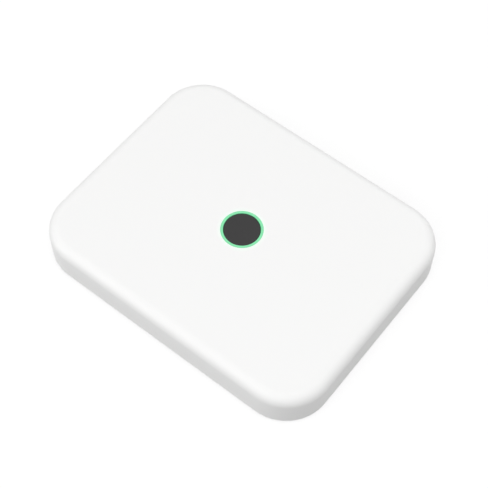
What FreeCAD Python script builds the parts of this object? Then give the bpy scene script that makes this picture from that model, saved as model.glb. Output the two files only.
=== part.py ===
"""Mobile hotspot: a sealed, battery-powered 5G and Wi-Fi unit in a moulded slab housing.

Frame: +X along the long side, +Y towards the port side, +Z up, origin on the resting plane under
the middle of the housing. All lengths are millimetres.

The housing is one deep moulding (top and all four sides) closed from below by a cover. The board
hangs from bosses under the ceiling, the battery hangs from a carrier under the board, and a round
lens with a light ring shows in the middle of the top.
"""
import FreeCAD, Part
import math
import os

import Sketcher

# ---------------------------------------------------------------------------------------------
# Driving dimensions, kept in the spreadsheet "Sizes"
# ---------------------------------------------------------------------------------------------
SIZES = {
    # moulded housing
    "body_length": 130.0,
    "body_width": 102.4,
    "body_height": 16.0,
    "foot_standoff": 0.6,
    "corner_radius": 18.5,
    "roll_radius": 4.4,
    "base_radius": 0.5,
    "side_wall": 2.0,
    "top_wall": 2.0,
    "inner_fillet": 0.6,
    # bottom cover
    "rim_wall": 1.3,
    "cover_gap": 0.15,
    "cover_thickness": 1.8,
    "cover_edge": 0.3,
    "lip_height": 2.2,
    "lip_thickness": 1.2,
    "lip_gap": 0.2,
    "hook_length": 8.0,
    "hook_height": 0.8,
    "hook_reach": 0.5,
    "hook_offset": 18.0,
    "hook_rise": 1.0,
    "hook_play": 0.1,
    "cover_rib": 1.2,
    "cover_rib_height": 1.4,
    "cover_rib_pitch": 18.0,
    "cover_rib_margin": 1.0,
    # feet and cover screws
    "foot_diameter": 10.0,
    "foot_thickness": 1.4,
    "foot_gap": 0.2,
    "foot_inset": 12.5,
    "foot_edge": 0.4,
    "head_diameter": 3.8,
    "head_height": 1.1,
    "head_gap": 0.2,
    "head_sink": 0.1,
    "cover_screw_length": 6.0,
    "screw_diameter": 2.0,
    "drive_size": 1.9,
    "drive_slot": 0.5,
    "drive_depth": 0.6,
    "thread_gap": 0.05,
    "hole_gap": 0.15,
    "screw_land": 1.0,
    "corner_boss": 5.5,
    "boss_rib": 1.2,
    "rib_bite": 0.5,
    "pilot_spare": 0.8,
    # main board, hung under the ceiling
    "board_drop": 3.0,
    "board_thickness": 1.0,
    "board_side_gap": 5.0,
    "board_front_gap": 5.2,
    "board_rear_gap": 0.8,
    "board_corner": 12.0,
    "board_boss": 4.4,
    "board_screw_length": 5.0,
    "notch_gap": 1.2,
    "side_boss_inset": 14.0,
    "side_boss_front_inset": 25.2,
    "side_boss_rear_inset": 39.2,
    "rear_boss_inset": 24.2,
    "rear_boss_left": -22.0,
    "rear_boss_right": 12.0,
    # shield cans, chips, pads and heat spreader
    "can_height": 1.8,
    "can_wall": 0.25,
    "can_edge": 0.4,
    "can_corner": 1.0,
    "chip_corner": 0.3,
    "pad_thickness": 0.5,
    "pad_margin": 2.5,
    "spreader_thickness": 0.6,
    "spreader_boss_gap": 4.0,
    "spreader_front_inset": 10.2,
    "spreader_rear_inset": 28.2,
    "spreader_corner": 6.0,
    "spreader_clearance": 0.6,
    "can_light_gap": 2.9,
    "can_boss_gap": 4.5,
    "can_front_inset": 14.2,
    "can_rear_inset": 30.7,
    "can_split": -2.5,
    "can_split_gap": 3.0,
    "modem_chip_inset": 7.75,
    "modem_chip_side": 20.0,
    "modem_chip_height": 1.1,
    "memory_chip_inset": 4.75,
    "memory_chip_side": 12.0,
    "memory_chip_height": 0.9,
    "wifi_chip_side": 12.0,
    "wifi_chip_height": 0.9,
    "power_chip_side": 7.0,
    "power_chip_height": 0.9,
    "transformer_offset": 17.0,
    "transformer_inset": 11.2,
    "transformer_length": 12.0,
    "transformer_width": 9.0,
    "transformer_height": 2.2,
    # round lens and light ring
    "lens_diameter": 14.6,
    "lens_thickness": 1.25,
    "lens_chamfer": 0.2,
    "lens_gap": 0.1,
    "tape_thickness": 0.15,
    "ring_width": 1.0,
    "ring_gap": 0.05,
    "ring_shoulder": 0.8,
    "ring_flange": 1.2,
    "flange_thickness": 1.0,
    "guide_inner": 5.6,
    "guide_thickness": 1.2,
    "guide_gap": 0.1,
    "dimple_depth": 0.3,
    "shroud_wall": 0.8,
    "shroud_gap": 0.2,
    "shroud_lift": 0.1,
    "led_circle": 7.6,
    "led_length": 1.6,
    "led_width": 0.8,
    "led_height": 0.55,
    "led_count": 6,
    # USB-C port
    "usb_inset": 59.0,
    "usb_length": 8.94,
    "usb_height": 3.16,
    "usb_depth": 7.35,
    "usb_wall": 0.3,
    "usb_recess": 0.8,
    "usb_gap": 0.27,
    "usb_tab_front": 2.9,
    "usb_tab_width": 1.2,
    "usb_tab_pitch": 3.0,
    "usb_tab_reach": 0.9,
    "tongue_width": 6.69,
    "tongue_height": 0.7,
    "tongue_length": 4.45,
    # network port
    "lan_inset": 31.0,
    "lan_width": 16.0,
    "lan_depth": 15.0,
    "lan_wall": 0.3,
    "lan_seat": 0.1,
    "lan_lift": 0.2,
    "lan_roof_gap": 0.5,
    "jack_gap": 0.1,
    "jack_pocket": 5.0,
    "wing_front": 3.0,
    "wing_width": 3.0,
    "wing_pitch": 6.0,
    "wing_reach": 1.6,
    "plug_width": 11.9,
    "plug_height": 6.8,
    "plug_depth": 11.5,
    "plug_floor": 1.0,
    "latch_width": 6.2,
    "latch_height": 1.6,
    "mouth_gap": 0.3,
    "contact_pitch": 1.02,
    "contact_width": 0.45,
    "contact_thickness": 0.27,
    "contact_reach": 9.2,
    "contact_drop": 2.4,
    "contact_count": 8,
    # power button, reset and their switches
    "button_inset": 27.0,
    "button_drop": 2.4,
    "button_length": 9.0,
    "button_height": 2.6,
    "button_proud": 0.35,
    "button_gap": 0.1,
    "button_flange": 0.8,
    "flange_overlap": 0.8,
    "nub_width": 3.0,
    "nub_height": 1.6,
    "press_gap": 0.05,
    "press_travel": 0.3,
    "switch_length": 6.0,
    "switch_height": 3.6,
    "switch_depth": 3.5,
    "plunger_width": 2.6,
    "plunger_height": 1.4,
    "plunger_reach": 0.9,
    "plunger_seat": 1.6,
    "plunger_gap": 0.05,
    "reset_inset": 39.0,
    "reset_length": 4.4,
    "reset_hole": 1.2,
    "switch_setback": 2.4,
    # SIM tray
    "sim_inset": 24.0,
    "sim_width": 8.8,
    "sim_length": 12.3,
    "sim_thickness": 0.67,
    "sim_corner": 1.65,
    "sim_gap": 0.12,
    "tray_frame": 1.6,
    "tray_thickness": 0.9,
    "tray_lead": 4.6,
    "tray_tail": 3.0,
    "tray_ledge": 0.7,
    "tray_gap": 0.1,
    "face_width": 14.6,
    "face_height": 2.4,
    "face_thickness": 1.2,
    "face_corner": 0.6,
    "face_gap": 0.1,
    "nail_groove": 0.5,
    "socket_wall": 0.2,
    "socket_gap": 0.4,
    "card_sink": 0.03,
    # battery and its carrier
    "battery_end_gap": 19.0,
    "battery_front_gap": 8.2,
    "battery_rear_gap": 30.4,
    "battery_floor_gap": 0.3,
    "battery_corner": 2.0,
    "battery_edge": 1.6,
    "battery_tape": 0.2,
    "tape_margin": 5.0,
    "protection_width": 2.6,
    "protection_height": 4.0,
    "protection_gap": 0.2,
    "protection_margin": 2.5,
    "carrier_wall": 1.2,
    "carrier_gap": 0.2,
    "carrier_plate": 0.8,
    "carrier_drop": 0.6,
    "carrier_floor_gap": 0.2,
    "carrier_corner": 2.5,
    "ear_diameter": 6.4,
    "ear_thickness": 1.2,
    "flex_place": 22.0,
    "flex_width": 8.0,
    "flex_thickness": 0.3,
    "flex_bend": 0.6,
    "flex_reach": 3.2,
    "flex_seat": 4.0,
    "battery_socket_height": 1.6,
    # antennas and their contact springs
    "antenna_roof_gap": 0.6,
    "antenna_thickness": 0.2,
    "antenna_floor": 5.2,
    "antenna_slot": 1.2,
    "antenna_feed": 5.0,
    "front_antenna_end": 21.0,
    "front_antenna_start": 10.0,
    "middle_antenna_half": 8.0,
    "side_antenna_front": 26.0,
    "side_antenna_rear": 42.0,
    "rear_antenna_start": 38.0,
    "rear_antenna_end": 21.0,
    "spring_width": 1.6,
    "spring_thickness": 0.15,
    "spring_pad": 1.6,
    "spring_drop": 2.2,
    "spring_tip": 1.2,
}

doc = FreeCAD.newDocument("MobileHotspot")
sheet = doc.addObject("Spreadsheet::Sheet", "Sizes")
for row, (alias, value) in enumerate(SIZES.items(), start=1):
    sheet.set(f"A{row}", alias)
    sheet.set(f"B{row}", str(value))
    sheet.setAlias(f"B{row}", alias)
doc.recompute()

# ---------------------------------------------------------------------------------------------
# Levels and places that several sub-parts share, as formulas on the sheet
# ---------------------------------------------------------------------------------------------
HALF_LENGTH = "Sizes.body_length / 2"
HALF_WIDTH = "Sizes.body_width / 2"
FLOOR = "Sizes.foot_standoff"
TOP = "(Sizes.foot_standoff + Sizes.body_height)"
CEILING = f"({TOP} - Sizes.top_wall)"
INNER_X = f"({HALF_LENGTH} - Sizes.side_wall)"
INNER_Y = f"({HALF_WIDTH} - Sizes.side_wall)"
INNER_CORNER = "(Sizes.corner_radius - Sizes.side_wall)"
INNER_ROLL = "max(Sizes.roll_radius - Sizes.side_wall; Sizes.inner_fillet)"

COVER_TOP = f"({FLOOR} + Sizes.cover_thickness)"
LIP_TOP = f"({COVER_TOP} + Sizes.lip_height)"
FOOT_X = f"({HALF_LENGTH} - Sizes.foot_inset)"
FOOT_Y = f"({HALF_WIDTH} - Sizes.foot_inset)"
FOOT_SEAT = "Sizes.foot_thickness"
HEAD_TOP = f"({FOOT_SEAT} + Sizes.head_sink + Sizes.head_height)"
BOSS_BOTTOM = f"({HEAD_TOP} + Sizes.screw_land)"
PILOT = "(Sizes.screw_diameter / 2 + Sizes.thread_gap)"
SCREW_HOLE = "(Sizes.screw_diameter / 2 + Sizes.hole_gap)"

BOARD_TOP = f"({CEILING} - Sizes.board_drop)"
BOARD_BOTTOM = f"({BOARD_TOP} - Sizes.board_thickness)"
BOARD_X = f"({INNER_X} - Sizes.board_side_gap)"
BOARD_FRONT = f"(-{INNER_Y} + Sizes.board_front_gap)"
BOARD_REAR = f"({INNER_Y} - Sizes.board_rear_gap)"
CAN_TOP = f"({BOARD_TOP} + Sizes.can_height)"
SPREADER_BOTTOM = f"({CAN_TOP} + Sizes.pad_thickness)"

LENS_RADIUS = "Sizes.lens_diameter / 2"
RING_INNER = f"({LENS_RADIUS} + Sizes.lens_gap)"
RING_OUTER = f"({RING_INNER} + Sizes.ring_width)"
FLANGE_RADIUS = f"({RING_OUTER} + Sizes.ring_flange)"
FLANGE_BOTTOM = f"({CEILING} - Sizes.flange_thickness)"
SHOULDER = f"({TOP} - Sizes.lens_thickness - Sizes.tape_thickness)"
SHROUD_INNER = f"({FLANGE_RADIUS} + Sizes.shroud_gap)"

USB_PLACE = f"({HALF_LENGTH} - Sizes.usb_inset)"
LAN_PLACE = f"({HALF_LENGTH} - Sizes.lan_inset)"
BUTTON_PLACE = f"(Sizes.button_inset - {HALF_LENGTH})"
RESET_PLACE = f"(Sizes.reset_inset - {HALF_LENGTH})"
USB_LEVEL = f"({BOARD_BOTTOM} - Sizes.usb_height / 2)"
USB_FRONT = f"({HALF_WIDTH} - Sizes.usb_recess)"
LAN_FRONT = f"({INNER_Y} - Sizes.lan_seat)"
LAN_BOTTOM = f"({COVER_TOP} + Sizes.lan_lift)"
LAN_HEIGHT = f"({CEILING} - Sizes.lan_roof_gap - {LAN_BOTTOM})"
LATCH_BOTTOM = f"({LAN_BOTTOM} + Sizes.plug_floor)"
PLUG_BOTTOM = f"({LATCH_BOTTOM} + Sizes.latch_height)"
PLUG_TOP = f"({PLUG_BOTTOM} + Sizes.plug_height)"
BUTTON_LEVEL = f"({BOARD_BOTTOM} - Sizes.button_drop)"
FLANGE_FACE = f"({INNER_Y} - Sizes.button_flange)"
SWITCH_FACE = f"({BOARD_REAR} - Sizes.switch_setback)"
PLUNGER_TIP = f"({SWITCH_FACE} + Sizes.plunger_reach)"

SIM_PLACE = f"({HALF_WIDTH} - Sizes.sim_inset)"
SOCKET_HEIGHT = "(Sizes.tray_thickness + 2 * Sizes.tray_gap + 2 * Sizes.socket_wall)"
TRAY_BOTTOM = f"({BOARD_BOTTOM} - Sizes.socket_wall - Sizes.tray_gap - Sizes.tray_thickness)"
TRAY_LEVEL = f"({TRAY_BOTTOM} + Sizes.tray_thickness / 2)"
TRAY_WIDTH = "(Sizes.sim_width + 2 * Sizes.sim_gap + 2 * Sizes.tray_frame)"
CARD_START = f"(-{HALF_LENGTH} + Sizes.tray_lead)"
TRAY_END = f"({CARD_START} + Sizes.sim_length + 2 * Sizes.sim_gap + Sizes.tray_tail)"

CARRIER_TOP = f"({BOARD_BOTTOM} - Sizes.carrier_drop)"
CARRIER_BOTTOM = f"({CARRIER_TOP} - Sizes.carrier_plate)"
BATTERY_BOTTOM = f"({COVER_TOP} + Sizes.battery_floor_gap)"
BATTERY_HEIGHT = f"({CARRIER_BOTTOM} - Sizes.battery_tape - {BATTERY_BOTTOM})"
BATTERY_LEVEL = f"({BATTERY_BOTTOM} + {BATTERY_HEIGHT} / 2)"
BATTERY_X = f"({INNER_X} - Sizes.battery_end_gap)"
PACK_FRONT = f"(-{INNER_Y} + Sizes.battery_front_gap)"
PACK_REAR = f"({INNER_Y} - Sizes.battery_rear_gap)"
BATTERY_REAR = f"({PACK_REAR} - Sizes.protection_width - Sizes.protection_gap)"
BATTERY_MIDDLE = f"(({PACK_FRONT} + {BATTERY_REAR}) / 2)"
BATTERY_WIDTH = f"({BATTERY_REAR} - {PACK_FRONT})"
BAY_X = f"({BATTERY_X} + Sizes.carrier_gap)"
BAY_REAR = f"({PACK_REAR} + Sizes.carrier_gap)"
BAY_FRONT = f"({PACK_FRONT} - Sizes.carrier_gap)"
EAR_BOTTOM = f"({BOARD_BOTTOM} - Sizes.ear_thickness)"

CORNERS = [(f"{sx}{FOOT_X}", f"{sy}{FOOT_Y}") for sx in ("-", "") for sy in ("-", "")]
SIDE_BOSS_X = f"({HALF_LENGTH} - Sizes.side_boss_inset)"
SIDE_BOSS_FRONT = f"(Sizes.side_boss_front_inset - {HALF_WIDTH})"
SIDE_BOSS_REAR = f"({HALF_WIDTH} - Sizes.side_boss_rear_inset)"
REAR_BOSS_ROW = f"({HALF_WIDTH} - Sizes.rear_boss_inset)"
BOARD_FIXINGS = [
    (f"-{SIDE_BOSS_X}", SIDE_BOSS_FRONT),
    (f"-{SIDE_BOSS_X}", SIDE_BOSS_REAR),
    (SIDE_BOSS_X, SIDE_BOSS_FRONT),
    (SIDE_BOSS_X, SIDE_BOSS_REAR),
    ("Sizes.rear_boss_left", REAR_BOSS_ROW),
    ("Sizes.rear_boss_right", REAR_BOSS_ROW),
]

CAN_INNER = f"({SHROUD_INNER} + Sizes.shroud_wall + Sizes.can_light_gap)"
CAN_OUTER = f"({SIDE_BOSS_X} - Sizes.can_boss_gap)"
CAN_FRONT = f"(Sizes.can_front_inset - {HALF_WIDTH})"
CAN_REAR = f"({HALF_WIDTH} - Sizes.can_rear_inset)"

PLANES = {"X": ("YZ_Plane", 1), "Y": ("XZ_Plane", -1), "Z": ("XY_Plane", 1)}
TOLERANCE = 1e-4


def number(formula):
    """The present value of a formula on the sheet."""
    return float(sheet.evalExpression(formula))


def checked(feature):
    """Recompute the document and stop at once if this feature failed."""
    doc.recompute()
    if {"Invalid", "Error"} & set(feature.State) or feature.Shape.isNull():
        raise RuntimeError(f"{feature.Label} failed: {feature.State}")
    return feature


class Profile:
    """A sketch square to one axis of its body, holding one or more closed loops.

    Across X the sketch reads (Y, Z), across Y it reads (X, Z), and across Z it reads (X, Y).
    """

    def __init__(self, body, axis, place):
        role, self.sign = PLANES[axis]
        plane = next(o for o in body.Origin.OriginFeatures if o.Role == role)
        self.sketch = body.newObject("Sketcher::SketchObject", "Profile")
        self.sketch.AttachmentSupport = [(plane, "")]
        self.sketch.MapMode = "FlatFace"
        offset = place if self.sign > 0 else f"-({place})"
        self.sketch.setExpression(".AttachmentOffset.Base.z", offset)

    def bind(self, kind, *where, formula):
        """Add a dimension and tie it to a formula."""
        index = self.sketch.addConstraint(Sketcher.Constraint(kind, *where, number(formula)))
        self.sketch.setExpression(f"Constraints[{index}]", formula)

    def pin(self, geometry, point, x, y):
        """Hold one point of a curve at a place given by two formulas."""
        self.bind("DistanceX", -1, 1, geometry, point, formula=x)
        self.bind("DistanceY", -1, 1, geometry, point, formula=y)

    def circle(self, x, y, radius):
        """A full circle."""
        centre = FreeCAD.Vector(number(x), number(y))
        round_ = Part.Circle(centre, FreeCAD.Vector(0, 0, 1), number(radius))
        curve = self.sketch.addGeometry(round_)
        self.pin(curve, 3, x, y)
        self.bind("Radius", curve, formula=radius)
        return self

    def circles(self, places, radius):
        """The same circle at several places."""
        for x, y in places:
            self.circle(x, y, radius)
        return self

    def polygon(self, points):
        """A closed loop of straight edges through points given as formulas."""
        corners = [FreeCAD.Vector(number(x), number(y)) for x, y in points]
        edges = []
        for start, end in zip(corners, corners[1:] + corners[:1]):
            edges.append(self.sketch.addGeometry(Part.LineSegment(start, end)))
        for this, following in zip(edges, edges[1:] + edges[:1]):
            self.sketch.addConstraint(Sketcher.Constraint("Coincident", this, 2, following, 1))
        for edge, (x, y) in zip(edges, points):
            self.pin(edge, 1, x, y)
        return self

    def rectangle(self, x_low, x_high, y_low, y_high):
        """A square-cornered rectangle between four formulas."""
        corners = [(x_low, y_low), (x_high, y_low), (x_high, y_high), (x_low, y_high)]
        return self.polygon(corners)

    def rounded(self, x, y, length, width, radius):
        """A rectangle with round corners about a centre."""
        middle_x, middle_y, corner = number(x), number(y), number(radius)
        reach_x, reach_y = number(length) / 2 - corner, number(width) / 2 - corner
        loop = []
        for quarter, (sx, sy) in enumerate(((1, -1), (1, 1), (-1, 1), (-1, -1))):
            centre = FreeCAD.Vector(middle_x + sx * reach_x, middle_y + sy * reach_y)
            start = (quarter - 1) * math.pi / 2
            arc = Part.Circle(centre, FreeCAD.Vector(0, 0, 1), corner)
            arc = Part.ArcOfCircle(arc, start, start + math.pi / 2)
            turn = FreeCAD.Vector(-math.sin(start + math.pi / 2), math.cos(start + math.pi / 2))
            run = 2 * (reach_y if quarter % 2 == 0 else reach_x)
            end = arc.value(start + math.pi / 2)
            loop.append(self.sketch.addGeometry(arc))
            loop.append(self.sketch.addGeometry(Part.LineSegment(end, end + turn * run)))
        constrain = self.sketch.addConstraint
        for this, following in zip(loop, loop[1:] + loop[:1]):
            constrain(Sketcher.Constraint("Tangent", this, 2, following, 1))
        for side, kind in ((1, "Vertical"), (3, "Horizontal"), (5, "Vertical"), (7, "Horizontal")):
            constrain(Sketcher.Constraint(kind, loop[side]))
        for arc in (2, 4, 6):
            constrain(Sketcher.Constraint("Equal", loop[0], loop[arc]))
        self.bind("Radius", loop[0], formula=radius)
        self.bind("DistanceX", loop[4], 3, loop[0], 3, formula=f"{length} - 2 * ({radius})")
        self.bind("DistanceY", loop[0], 3, loop[2], 3, formula=f"{width} - 2 * ({radius})")
        self.pin(loop[2], 3, f"{x} + ({length}) / 2 - ({radius})",
                 f"{y} + ({width}) / 2 - ({radius})")
        return self

    def stadium(self, x, y, length, width):
        """A slot with half-round ends, long way along the sketch's X."""
        middle_x, middle_y = number(x), number(y)
        radius = number(width) / 2
        reach = number(length) / 2 - radius
        up = FreeCAD.Vector(0, radius)
        left = FreeCAD.Vector(middle_x - reach, middle_y)
        right = FreeCAD.Vector(middle_x + reach, middle_y)
        quarter = math.pi / 2
        normal = FreeCAD.Vector(0, 0, 1)
        loop = [
            Part.ArcOfCircle(Part.Circle(right, normal, radius), -quarter, quarter),
            Part.LineSegment(right + up, left + up),
            Part.ArcOfCircle(Part.Circle(left, normal, radius), quarter, 3 * quarter),
            Part.LineSegment(left - up, right - up),
        ]
        loop = [self.sketch.addGeometry(curve) for curve in loop]
        for this, following in zip(loop, loop[1:] + loop[:1]):
            self.sketch.addConstraint(Sketcher.Constraint("Tangent", this, 2, following, 1))
        self.sketch.addConstraint(Sketcher.Constraint("Horizontal", loop[1]))
        self.bind("Radius", loop[0], formula=f"({width}) / 2")
        half_run = f"({length}) / 2 - ({width}) / 2"
        self.pin(loop[0], 3, f"{x} + {half_run}", y)
        self.bind("DistanceX", loop[2], 3, loop[0], 3, formula=f"2 * ({half_run})")
        return self


class Piece:
    """One sub-part: a body with its own label and a placement bound to the sheet."""

    made = []

    def __init__(self, label, x="0", y="0", z="0"):
        self.body = doc.addObject("PartDesign::Body", label)
        self.body.Label = label
        self.body.AllowCompound = True
        for axis, formula in zip("xyz", (x, y, z)):
            self.body.setExpression(f".Placement.Base.{axis}", formula)
        Piece.made.append(self)

    def profile(self, axis="Z", place="0"):
        """A new empty sketch square to an axis, at a place along it."""
        return Profile(self.body, axis, place)

    def volume(self):
        """Volume of the body so far."""
        tip = self.body.Tip
        return tip.Shape.Volume if tip else 0.0

    def grow(self, profile, length, towards=1):
        """Pad a profile along its axis, forwards or backwards."""
        before = self.volume()
        feature = self.body.newObject("PartDesign::Pad", "Pad")
        feature.Profile = profile.sketch
        feature.setExpression("Length", length)
        feature.Reversed = profile.sign * towards < 0
        checked(feature)
        if self.volume() <= before:
            raise RuntimeError(f"a pad of {self.body.Label} adds nothing")
        return feature

    def cut(self, profile, depth, towards=1):
        """Pocket a profile along its axis, forwards or backwards."""
        before = self.volume()
        feature = self.body.newObject("PartDesign::Pocket", "Pocket")
        feature.Profile = profile.sketch
        feature.setExpression("Length", depth)
        feature.Reversed = profile.sign * towards > 0
        checked(feature)
        if self.volume() >= before:
            raise RuntimeError(f"a pocket of {self.body.Label} cuts nothing")
        return feature

    def turn(self, profile):
        """Revolve a profile once about the body's own Z axis."""
        axis = next(o for o in self.body.Origin.OriginFeatures if o.Role == "Z_Axis")
        feature = self.body.newObject("PartDesign::Revolution", "Revolution")
        feature.Profile = profile.sketch
        feature.ReferenceAxis = (axis, [""])
        feature.Angle = 360
        return checked(feature)

    def edges(self, low, high=None, axis="Z"):
        """Names of the tip's edges that lie between two places along an axis."""
        low, high = number(low), number(high or low)
        names = []
        for index, edge in enumerate(self.body.Tip.Shape.Edges, start=1):
            box = edge.BoundBox
            first, last = getattr(box, f"{axis}Min"), getattr(box, f"{axis}Max")
            if first > low - TOLERANCE and last < high + TOLERANCE:
                names.append(f"Edge{index}")
        return names

    def round_off(self, names, radius, kind="Fillet"):
        """Fillet or chamfer the named edges of the tip."""
        base = self.body.Tip
        feature = self.body.newObject(f"PartDesign::{kind}", kind)
        feature.Base = (base, names)
        feature.setExpression("Radius" if kind == "Fillet" else "Size", radius)
        return checked(feature)

    def repeat_round(self, features, count):
        """Repeat features in a full circle about the body's Z axis."""
        axis = next(o for o in self.body.Origin.OriginFeatures if o.Role == "Z_Axis")
        pattern = self.body.newObject("PartDesign::PolarPattern", "PolarPattern")
        pattern.Originals = features
        pattern.Axis = (axis, [""])
        pattern.Angle = 360
        pattern.setExpression("Occurrences", count)
        self.body.Tip = pattern
        return checked(pattern)

    def repeat_along(self, features, axis, pitch, count):
        """Repeat features in a row along one of the body's axes."""
        role = next(o for o in self.body.Origin.OriginFeatures if o.Role == f"{axis}_Axis")
        pattern = self.body.newObject("PartDesign::LinearPattern", "LinearPattern")
        pattern.Originals = features
        pattern.Direction = (role, [""])
        pattern.setExpression("Length", f"({pitch}) * (({count}) - 1)")
        pattern.setExpression("Occurrences", count)
        self.body.Tip = pattern
        return checked(pattern)


def plate(label, x, y, z, length, width, thickness, corner):
    """A flat piece with round corners, its underside at z."""
    piece = Piece(label, x, y, z)
    piece.grow(piece.profile().rounded("0", "0", length, width, corner), thickness)
    return piece


# ---------------------------------------------------------------------------------------------
# Housing: one deep moulding, its cover, feet and screws
# ---------------------------------------------------------------------------------------------
def hook_places():
    """The six snap hooks: (middle, half-span along the wall, axis across the wall, side)."""
    places = [("Y", side, f"{end}Sizes.hook_offset") for side in ("-", "") for end in ("-", "")]
    return places + [("X", side, "0") for side in ("-", "")]


def hook_rectangle(profile, axis, side, middle, near, far, play):
    """One hook or hook window, seen from above, between two distances across the wall."""
    span = f"(Sizes.hook_length / 2 + {play})"
    low, high = (f"{side}({near})", f"{side}({far})")
    if side:
        low, high = high, low
    along = (f"{middle} - {span}", f"{middle} + {span}")
    if axis == "Y":
        profile.rectangle(*along, low, high)
    else:
        profile.rectangle(low, high, *along)


def lan_mouth(profile, gap):
    """Outline of the network plug with its latch below, grown by a gap, in (X, Z)."""
    half, latch = f"(Sizes.plug_width / 2 + {gap})", f"(Sizes.latch_width / 2 + {gap})"
    left, right = f"{LAN_PLACE} - {half}", f"{LAN_PLACE} + {half}"
    latch_left, latch_right = f"{LAN_PLACE} - {latch}", f"{LAN_PLACE} + {latch}"
    top, step = f"{PLUG_TOP} + {gap}", f"{PLUG_BOTTOM} - {gap}"
    bottom = f"{LATCH_BOTTOM} - {gap}"
    return profile.polygon([
        (latch_left, bottom), (latch_right, bottom), (latch_right, step), (right, step),
        (right, top), (left, top), (left, step), (latch_left, step),
    ])


def wall_ribs(piece, bosses, level, wall):
    """Ribs from bosses to the end walls, starting a little above a level."""
    half = "Sizes.boss_rib / 2"
    ribs = piece.profile("Z", f"{level} + {half}")
    for x, y in bosses:
        low, high = (f"-({wall})", x) if x.startswith("-") else (x, wall)
        ribs.rectangle(low, high, f"{y} - {half}", f"{y} + {half}")
    piece.grow(ribs, f"{CEILING} - {level} - {half}")


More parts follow.
